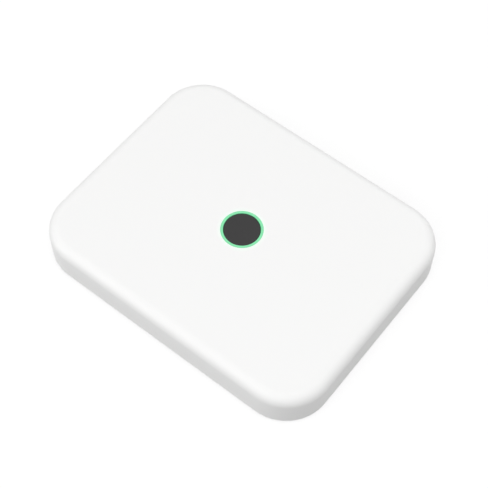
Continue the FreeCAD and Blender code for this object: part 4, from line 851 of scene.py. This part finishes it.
def rounded_block(graph: Graph, length: Value, width: Value, height: Value,
                  radius: Value) -> Socket:
    """Add a block with round upright corners, standing on z = 0.

    Args:
        graph: The pattern's own tree.
        length: Its size along X.
        width: Its size along Y.
        height: Its size along Z.
        radius: The radius of its corners.

    Returns:
        The closed block.
    """
    outline = graph.make("GeometryNodeCurvePrimitiveQuadrilateral",
                         {"Width": length, "Height": width})
    bent = graph.make("GeometryNodeFilletCurve",
                      {"Curve": outline, "Radius": radius, "Count": CORNER_STEPS}, mode="POLY")
    top = graph.make("GeometryNodeFillCurve", {"Curve": bent}, mode="NGONS")
    raised = graph.make("GeometryNodeExtrudeMesh",
                        {"Mesh": top, "Offset Scale": height, "Individual": False})
    both = graph.add("GeometryNodeJoinGeometry")
    graph.feed(both.inputs[0], raised)
    graph.feed(both.inputs[0], graph.make("GeometryNodeFlipFaces", {0: top}))
    return graph.make("GeometryNodeMergeByDistance",
                      {"Geometry": both.outputs[0], "Distance": WELD})


class ContactRow(Pattern):
    """Flat plated contacts in a straight row."""

    name = "Contact Row"
    takes = (("Count", "Int"), ("First", "Vector"), ("Step", "Vector"), ("Length", "Float"),
             ("Width", "Float"), ("Height", "Float"), ("Corner", "Float"),
             ("Material", "Material"))

    def shape(self, graph: Graph, given: Sockets) -> Socket:
        """Set a rounded pad at each step.

        Args:
            graph: The pattern's own tree.
            given: The pattern's inputs by name.

        Returns:
            The geometry.
        """
        row = graph.make("GeometryNodeMeshLine",
                         {"Count": given["Count"], "Start Location": given["First"],
                          "Offset": given["Step"]})
        pad = rounded_block(graph, given["Length"], given["Width"], given["Height"],
                            given["Corner"])
        return graph.make("GeometryNodeInstanceOnPoints", {"Points": row, "Instance": pad})


class PrismRing(Pattern):
    """Light-spreading prisms round a ring."""

    name = "Prism Ring"
    takes = (("Count", "Int"), ("Radius", "Float"), ("Level", "Float"), ("Length", "Float"),
             ("Height", "Float"), ("Material", "Material"))
    sides = 3

    def shape(self, graph: Graph, given: Sockets) -> Socket:
        """Set a three-sided prism at each step round the circle.

        Args:
            graph: The pattern's own tree.
            given: The pattern's inputs by name.

        Returns:
            The geometry.
        """
        circle = graph.make("GeometryNodeMeshCircle",
                            {"Vertices": given["Count"], "Radius": given["Radius"]})
        raised = graph.make("GeometryNodeTransform",
                            {"Geometry": circle, "Translation": graph.join(Z=given["Level"])})
        outward = graph.flatten(graph.make("GeometryNodeInputPosition"))
        turn = graph.make("FunctionNodeAlignRotationToVector", {"Vector": outward}, axis="X")
        prism = graph.make("GeometryNodeMeshCylinder",
                           {"Vertices": self.sides, "Radius": given["Height"],
                            "Depth": given["Length"]})
        laid = graph.make("GeometryNodeTransform",
                          {"Geometry": prism, "Rotation": (0.0, math.pi / 2, 0.0)})
        return graph.make("GeometryNodeInstanceOnPoints",
                          {"Points": raised, "Instance": laid, "Rotation": turn})


class ChipField(Pattern):
    """Small parts scattered on a grid, each lined up with the board."""

    name = "Chip Field"
    takes = (("Columns", "Int"), ("Rows", "Int"), ("Length", "Float"), ("Width", "Float"),
             ("Centre", "Vector"), ("Share", "Float"), ("Seed", "Int"), ("Part Length", "Float"),
             ("Part Width", "Float"), ("Part Height", "Float"), ("Shift", "Float"),
             ("Material", "Material"))
    corner = 0.04 * MM

    def shape(self, graph: Graph, given: Sockets) -> Socket:
        """Thin the grid at random and set a part on each point.

        Args:
            graph: The pattern's own tree.
            given: The pattern's inputs by name.

        Returns:
            The geometry.
        """
        grid = graph.make("GeometryNodeMeshGrid",
                          {"Size X": given["Length"], "Size Y": given["Width"],
                           "Vertices X": given["Columns"], "Vertices Y": given["Rows"]})
        moved = graph.make("GeometryNodeTransform",
                           {"Geometry": grid, "Translation": given["Centre"]})
        thrown = graph.make("FunctionNodeRandomValue", {"Seed": given["Seed"]},
                            data_type="FLOAT")
        dropped = graph.math("GREATER_THAN", thrown, given["Share"])
        thin = graph.make("GeometryNodeDeleteGeometry",
                          {"Geometry": moved, "Selection": dropped}, domain="POINT")
        block = rounded_block(graph, given["Part Length"], given["Part Width"],
                              given["Part Height"], self.corner)
        shifted = graph.make("GeometryNodeTransform",
                             {"Geometry": block, "Translation": graph.join(X=given["Shift"])})
        return graph.make("GeometryNodeInstanceOnPoints", {"Points": thin, "Instance": shifted})


class Meander(Pattern):
    """Square-wave tracks of even width, one over the other, standing up in Z and led along X."""

    name = "Meander"
    takes = (("Legs", "Int"), ("Pitch", "Float"), ("Sweep", "Float"), ("Width", "Float"),
             ("Thickness", "Float"), ("Start", "Vector"), ("Turn", "Float"), ("Rows", "Int"),
             ("Row Step", "Float"), ("Material", "Material"))
    leg_points = 2.0
    upper_phase = 1.5
    upper_reach = 0.6

    def shape(self, graph: Graph, given: Sockets) -> Socket:
        """Fold a line into a square wave, give it a flat section and repeat it upwards.

        Args:
            graph: The pattern's own tree.
            given: The pattern's inputs by name.

        Returns:
            The geometry.
        """
        curve = graph.make("GeometryNodeMeshToCurve", {"Mesh": self.fold(graph, given)})
        level = graph.make("GeometryNodeSetCurveNormal", {"Curve": curve}, mode="MINIMUM_TWIST")
        section = graph.make("GeometryNodeCurvePrimitiveQuadrilateral",
                             {"Width": given["Width"], "Height": given["Thickness"]})
        strip = graph.make("GeometryNodeCurveToMesh",
                           {"Curve": level, "Profile Curve": section, "Fill Caps": True})
        rows = graph.make("GeometryNodeMeshLine",
                          {"Count": given["Rows"], "Offset": graph.join(Z=given["Row Step"])})
        stacked = graph.make("GeometryNodeInstanceOnPoints",
                             {"Points": rows, "Instance": strip})
        return graph.make("GeometryNodeTransform",
                          {"Geometry": stacked, "Translation": given["Start"],
                           "Rotation": graph.join(Z=given["Turn"])})

    def fold(self, graph: Graph, given: Sockets) -> Socket:
        """Place a line's points leg by leg, upwards and downwards in turn.

        Args:
            graph: The pattern's own tree.
            given: The pattern's inputs by name.

        Returns:
            The folded line.
        """
        count = graph.math("MULTIPLY", given["Legs"], self.leg_points)
        line = graph.make("GeometryNodeMeshLine", {"Count": count})
        index = graph.make("GeometryNodeInputIndex")
        leg = graph.math("FLOOR", graph.math("DIVIDE", index, self.leg_points))
        phase = graph.math("MODULO", index, 2 * self.leg_points)
        upper = graph.math("COMPARE", phase, self.upper_phase, self.upper_reach)
        spot = graph.join(X=graph.math("MULTIPLY", leg, given["Pitch"]),
                          Z=graph.math("MULTIPLY", upper, given["Sweep"]))
        return graph.make("GeometryNodeSetPosition", {"Geometry": line, "Position": spot})


# ---------------------------------------------------------------------------------------------
# Sub-assemblies
# ---------------------------------------------------------------------------------------------
@dataclass
class SubAssembly:
    """A named group of CAD nodes with its finishes, and the pieces that the scene adds."""

    finishes: dict[str, Finish] = field(default_factory=dict)

    def build(self) -> list[Piece]:
        """Make the pieces that the scene adds: none, unless the group says otherwise."""
        return []

    def dress(self) -> None:
        """Give every CAD node of the group its finish."""
        for node, finish in self.finishes.items():
            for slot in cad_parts[node].material_slots:
                slot.material = finish.material()
            LOG.info("dressed %s with %s", node, finish.name)


def middle(node: str) -> Vector:
    """Give the middle of a CAD node's box."""
    low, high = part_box(node)
    return (low + high) / 2


@dataclass
class Housing(SubAssembly):
    """The white case: moulded top, cover, feet and the screws under them."""

    finishes: dict[str, Finish] = field(default_factory=lambda: {
        "top_housing": WHITE_TOP_PAINTED_GLOW, "bottom_cover": WHITE_CASE, "cover_screws": STEEL,
        "foot_front_left": FOOT_RUBBER, "foot_front_right": FOOT_RUBBER,
        "foot_rear_left": FOOT_RUBBER, "foot_rear_right": FOOT_RUBBER})


@dataclass
class StatusLight(SubAssembly):
    """The dark lens, the lit ring round it and what lights the ring."""

    prisms: int = 72
    prism_height: float = 0.16 * MM
    prism_length: float = 1.6 * MM
    prism_inset: float = 0.1 * MM
    gap_share: float = 0.75
    finishes: dict[str, Finish] = field(default_factory=lambda: {
        "status_lens": SMOKED, "lens_tape": BLACK_TAPE, "light_ring": RING_LIGHT,
        "light_guide": RING_LIGHT, "light_shroud": BLACK_PLASTIC, "status_leds": LAMP})

    def build(self) -> list[Piece]:
        """Set the light-spreading prisms on the guide, in the gap under the ring.

        Returns:
            The prisms.
        """
        _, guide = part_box("light_guide")
        ring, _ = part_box("light_ring")
        height = min(self.prism_height, (ring.z - guide.z) * self.gap_share)
        return [PrismRing().place(
            "light_guide_prisms", RING_LIGHT, Slot.LIGHT_DIFFUSER, Count=self.prisms,
            Radius=guide.x - self.prism_length / 2 - self.prism_inset, Level=guide.z,
            Length=self.prism_length, Height=height)]


@dataclass
class Board(SubAssembly):
    """The main board with its chips, screening cans, pads and heat spreader."""

    seed: int = 11
    columns: int = 9
    rows: int = 12
    share: float = 0.6
    margin: float = 2.0 * MM
    part_length: float = 1.0 * MM
    part_width: float = 0.5 * MM
    part_height: float = 0.45 * MM
    end_length: float = 0.22 * MM
    finishes: dict[str, Finish] = field(default_factory=lambda: {
        "main_board": LAMINATE, "board_screws": STEEL, "modem_chip": EPOXY,
        "memory_chip": EPOXY, "wifi_chip": EPOXY, "power_chip": EPOXY, "modem_shield": NICKEL,
        "wifi_shield": NICKEL, "power_shield": NICKEL, "modem_thermal_pad": GAP_PAD,
        "wifi_thermal_pad": GAP_PAD, "power_thermal_pad": GAP_PAD, "heat_spreader": SPREADER})

    def build(self) -> list[Piece]:
        """Scatter small capacitors on the bare strip between the cans, in front of the lamps.

        Returns:
            Their bodies, their left ends and their right ends.
        """
        _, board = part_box("main_board")
        left_low, left_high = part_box("modem_shield")
        right_low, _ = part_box("wifi_shield")
        lamps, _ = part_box("light_shroud")
        low = Vector((left_high.x, max(left_low.y, right_low.y), board.z))
        high = Vector((right_low.x, lamps.y, board.z))
        end_shift = (self.part_length - self.end_length) / 2
        ends = (self.end_length, TIN, Slot.CAN_METAL)
        kinds = {"bodies": (0.0, self.part_length - 2 * self.end_length, CERAMIC,
                            Slot.CHIP_PACKAGE),
                 "left_ends": (-end_shift, *ends), "right_ends": (end_shift, *ends)}
        return [ChipField().place(
            f"capacitor_{label}", finish, slot, Columns=self.columns, Rows=self.rows,
            Length=high.x - low.x - 2 * self.margin, Width=high.y - low.y - 2 * self.margin,
            Centre=(low + high) / 2, Share=self.share, Seed=self.seed, Part_Length=size,
            Part_Width=self.part_width, Part_Height=self.part_height, Shift=shift)
            for label, (shift, size, finish, slot) in kinds.items()]


@dataclass
class Ports(SubAssembly):
    """The USB-C and network sockets in the back wall."""

    contacts: int = 12
    pitch: float = 0.5 * MM
    pad_width: float = 0.26 * MM
    pad_height: float = 0.03 * MM
    pad_length: float = 3.2 * MM
    pad_corner: float = 0.06 * MM
    tip: float = 0.35 * MM
    tongue_height: float = 0.7 * MM
    finishes: dict[str, Finish] = field(default_factory=lambda: {
        "usb_shell": NICKEL, "usb_insert": BLACK_PLASTIC, "lan_shield": NICKEL,
        "lan_insert": BLACK_PLASTIC, "lan_contacts": GOLD, "lan_transformer": EPOXY})

    def build(self) -> list[Piece]:
        """Lay the two rows of contacts on the USB-C tongue.

        Returns:
            The upper and the lower row.
        """
        centre = middle("usb_insert")
        _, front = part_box("usb_insert")
        near = front.y - self.pad_length / 2 - self.tip
        start = centre.x - self.pitch * (self.contacts - 1) / 2
        rows = {"upper": centre.z + self.tongue_height / 2,
                "lower": centre.z - self.tongue_height / 2 - self.pad_height}
        return [ContactRow().place(
            f"usb_contacts_{label}", GOLD, Slot.CONTACT_GOLD, Count=self.contacts,
            First=Vector((start, near, level)), Step=Vector((self.pitch, 0.0, 0.0)),
            Length=self.pad_width, Width=self.pad_length, Height=self.pad_height,
            Corner=self.pad_corner) for label, level in rows.items()]


@dataclass
class Controls(SubAssembly):
    """The power button, the reset plunger and their switches."""

    finishes: dict[str, Finish] = field(default_factory=lambda: {
        "power_button": WHITE_CASE, "power_switch": NICKEL, "power_plunger": WHITE_PLUNGER,
        "reset_switch": NICKEL, "reset_plunger": WHITE_PLUNGER})


@dataclass
class SimBay(SubAssembly):
    """The SIM tray with its card, and the socket they slide into."""

    pads: int = 4
    pad_length: float = 2.2 * MM
    pad_width: float = 1.6 * MM
    pad_gap: float = 0.25 * MM
    pad_height: float = 0.02 * MM
    pad_corner: float = 0.3 * MM
    row_offset: float = 2.4 * MM
    finishes: dict[str, Finish] = field(default_factory=lambda: {
        "sim_tray": WHITE_CASE, "sim_card": CARD, "sim_socket": NICKEL})

    def build(self) -> list[Piece]:
        """Lay the card's two rows of contacts.

        Returns:
            The inner and the outer row, which ride on the tray.
        """
        _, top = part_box("sim_card")
        centre = middle("sim_card")
        pitch = self.pad_width + self.pad_gap
        start = centre.y - pitch * (self.pads - 1) / 2
        rows = {"inner": centre.x + self.row_offset, "outer": centre.x - self.row_offset}
        return [ContactRow().place(
            f"card_contacts_{label}", GOLD, Slot.CONTACT_GOLD, Body.SIM_TRAY, Count=self.pads,
            First=Vector((place, start, top.z)), Step=Vector((0.0, pitch, 0.0)),
            Length=self.pad_length, Width=self.pad_width, Height=self.pad_height,
            Corner=self.pad_corner) for label, place in rows.items()]


@dataclass
class PowerPack(SubAssembly):
    """The pouch cell, its small board, its lead and the frame round it."""

    finishes: dict[str, Finish] = field(default_factory=lambda: {
        "battery_cell": FOIL, "battery_board": LAMINATE, "battery_tape": BLACK_TAPE,
        "battery_flex": FILM, "battery_socket": EPOXY, "mid_frame": BLACK_PLASTIC})


class Wall(Enum):
    """The case walls that carry antennas, by the way from the films to the middle."""

    FRONT = (0.0, 1.0)
    LEFT = (1.0, 0.0)
    RIGHT = (-1.0, 0.0)


@dataclass(frozen=True)
class Film:
    """One antenna film: its wall, and whether its feed is at the end with the higher place."""

    name: str
    wall: Wall
    feed_high: bool = False


@dataclass
class Antennas(SubAssembly):
    """The film antennas on the case walls, and the springs that feed them."""

    pitch: float = 1.4 * MM
    width: float = 0.35 * MM
    thickness: float = 0.03 * MM
    slot: float = 1.2 * MM
    margin: float = 0.5 * MM
    feed: float = 5.0 * MM
    arms: int = 2
    films: tuple[Film, ...] = (
        Film("front_left", Wall.FRONT, True), Film("front_middle", Wall.FRONT),
        Film("front_right", Wall.FRONT), Film("left", Wall.LEFT), Film("right", Wall.RIGHT),
        Film("right_rear", Wall.RIGHT))
    finishes: dict[str, Finish] = field(default_factory=lambda: {
        "antenna_front_left": FILM, "antenna_front_right": FILM, "antenna_front_middle": FILM,
        "antenna_left": FILM, "antenna_right": FILM, "antenna_right_rear": FILM,
        "antenna_springs": GOLD})

    def build(self) -> list[Piece]:
        """Etch a meander on each arm of each film."""
        return [self.etch(film) for film in self.films]

    def etch(self, film: Film) -> Piece:
        """Etch a meander on both arms of one film, clear of its slot and of its feed.

        Args:
            film: The film.

        Returns:
            The tracks.
        """
        low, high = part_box(f"antenna_{film.name}")
        inward = Vector((*film.wall.value, 0.0))
        along = Vector((abs(inward.y), abs(inward.x), 0.0))
        arm = (high.z - low.z - self.slot) / 2
        length = (high - low).dot(along) - self.feed - self.margin - self.width
        start = (low + high + inward * (abs((high - low).dot(inward)) + self.thickness)) / 2
        begin = self.margin if film.feed_high else self.feed
        start += along * (low.dot(along) + begin + self.width / 2 - start.dot(along))
        start.z = low.z + self.margin + self.width / 2
        return Meander().place(
            f"antenna_track_{film.name}", COPPER, Slot.FLEX_FILM, Legs=int(length / self.pitch),
            Pitch=self.pitch, Sweep=arm - 2 * self.margin - self.width, Width=self.width,
            Start=start, Thickness=self.thickness, Turn=math.atan2(along.y, along.x),
            Rows=self.arms, Row_Step=arm + self.slot)


# ---------------------------------------------------------------------------------------------
# Studio
# ---------------------------------------------------------------------------------------------
def heading(azimuth: float, elevation: float) -> Vector:
    """Give a direction from the object.

    Args:
        azimuth: The angle round from the front, in degrees.
        elevation: The angle up from the floor, in degrees.

    Returns:
        The direction, one long.
    """
    around, up = math.radians(azimuth), math.radians(elevation)
    return Vector((math.sin(around) * math.cos(up), -math.cos(around) * math.cos(up),
                   math.sin(up)))


@dataclass(frozen=True)
class Softbox:
    """A square soft lamp that points at the object."""

    name: str
    azimuth: float
    elevation: float
    level: float
    distance: float = 1.6
    size: float = 1.1

    def build(self) -> None:
        """Hang the lamp, whose level is the share of full white that it gives face on."""
        lamp = bpy.data.lights.new(self.name, "AREA")
        lamp.size = self.size
        lamp.energy = self.level * (math.pi * self.distance) ** 2
        made = show(bpy.data.objects.new(self.name, lamp))
        way = heading(self.azimuth, self.elevation)
        turn = way.to_track_quat("Z", "Y").to_matrix().to_4x4()
        made.matrix_world = Matrix.Translation(way * self.distance) @ turn


@dataclass
class Studio:
    """The pale floor, the soft lamps, the white surroundings and the camera."""

    floor_size: float = 8.0
    floor_cells: int = 8
    floor_drop: float = 0.05 * MM
    floor_bounce: float = 0.2
    floor_shade: float = 0.3
    floor_lift: float = 0.74
    floor_fade: Span = (0.12, 0.4)
    sky: float = 0.495
    azimuth: float = 37.541
    elevation: float = 59.053
    roll: float = 0.710
    distance: float = 490.01 * MM
    aim: tuple[float, float, float] = (-1.354 * MM, 3.176 * MM, 0.0)
    lens: float = 90.413
    clip_start: float = 10 * MM
    lamps: tuple[Softbox, ...] = (
        Softbox("rear_softbox", 180, 20, 0.108),
        Softbox("front_left_softbox", 315, 20, 0.265),
        Softbox("mid_front_softbox", 0, 42, 0.206, size=1.7),
        Softbox("mid_rear_softbox", 135, 42, 0.123, size=1.7),
        Softbox("high_rear_softbox", 135, 64, 0.147, size=2.4),
        Softbox("high_front_softbox", 45, 64, 0.292, size=2.4))

    def build(self) -> None:
        """Set the whole studio up."""
        bpy.context.scene.view_settings.view_transform = "Standard"
        self.surround()
        self.lay_floor()
        for lamp in self.lamps:
            lamp.build()
        self.set_camera()
        LOG.info("studio: %d softboxes", len(self.lamps))

    @staticmethod
    def seen(graph: Graph) -> Socket:
        """Tell what is seen from what is lit.

        Args:
            graph: The tree of a material or of the world.

        Returns:
            1 for what the camera sees straight on, in a reflection or through glass, else 0.
        """
        path = graph.add("ShaderNodeLightPath").outputs
        either = graph.math("ADD", path["Is Camera Ray"], path["Is Glossy Ray"])
        return graph.math("ADD", either, path["Is Transmission Ray"], clamp=True)

    def surround(self) -> None:
        """Make the surroundings white to look at and dim as a light."""
        world = bpy.data.worlds.new("surroundings")
        bpy.context.scene.world = world
        graph = Graph(empty_tree(world))
        strength = graph.remap(self.seen(graph), (0.0, 1.0), (self.sky, 1.0))
        light = graph.make("ShaderNodeBackground", {"Color": WHITE, "Strength": strength})
        graph.end("ShaderNodeOutputWorld", light)

    def lay_floor(self) -> None:
        """Lay the floor: white to look at, with the object's shadow on it."""
        shape = bmesh.new()
        bmesh.ops.create_grid(shape, x_segments=self.floor_cells, y_segments=self.floor_cells,
                              size=self.floor_size / 2)
        bmesh.ops.translate(shape, verts=shape.verts, vec=(0.0, 0.0, -self.floor_drop))
        mesh = bpy.data.meshes.new("floor")
        shape.to_mesh(mesh)
        shape.free()
        mesh.materials.append(self.floor_coat())
        show(bpy.data.objects.new("floor", mesh))

    def floor_coat(self) -> bpy.types.Material:
        """Make the floor's material, whose shadows fade out into white away from the object.

        Returns:
            The material.
        """
        coat = bpy.data.materials.new("pale_floor")
        graph = Graph(empty_tree(coat))
        bounce = graph.make("ShaderNodeBsdfDiffuse", {"Color": (self.floor_bounce,) * 3})
        shade = graph.make("ShaderNodeBsdfDiffuse", {"Color": (self.floor_shade,) * 3})
        lift = graph.make("ShaderNodeEmission", {"Strength": self.floor_lift})
        pale = graph.make("ShaderNodeAddShader", {0: shade, 1: lift})
        white = graph.make("ShaderNodeEmission", {"Strength": 1.0})
        where = graph.add("ShaderNodeTexCoord").outputs["Object"]
        far = graph.remap(graph.vector("LENGTH", where), self.floor_fade, smooth=True)
        wide = graph.make("ShaderNodeMixShader", {0: far, 1: pale, 2: white})
        both = graph.make("ShaderNodeMixShader", {0: self.seen(graph), 1: bounce, 2: wide})
        graph.end("ShaderNodeOutputMaterial", both)
        return coat

    def set_camera(self) -> None:
        """Set the camera up above the front right corner."""
        view = bpy.data.cameras.new("camera")
        view.lens = self.lens
        view.clip_start = self.clip_start
        back = heading(self.azimuth, self.elevation)
        level = heading(self.azimuth + QUARTER_TURN, 0.0)
        right = Matrix.Rotation(math.radians(self.roll), 3, back) @ level
        turn = Matrix((right, back.cross(right), back)).transposed().to_4x4()
        camera = show(bpy.data.objects.new("camera", view))
        camera.matrix_world = Matrix.Translation(Vector(self.aim) + back * self.distance) @ turn
        bpy.context.scene.camera = camera


def main() -> None:
    """Dress and fit out the hotspot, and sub-assembly by sub-assembly."""
    logging.basicConfig(level=logging.INFO, format="%(name)s: %(message)s")
    Studio().build()
    for part in (Housing(), StatusLight(), Board(), Ports(), Controls(), SimBay(), PowerPack(),
                 Antennas()):
        part.dress()
        for piece in part.build():
            LOG.info("built %s: %d faces", piece.name, len(piece.data.polygons))


if __name__ == "__main__":
    main()
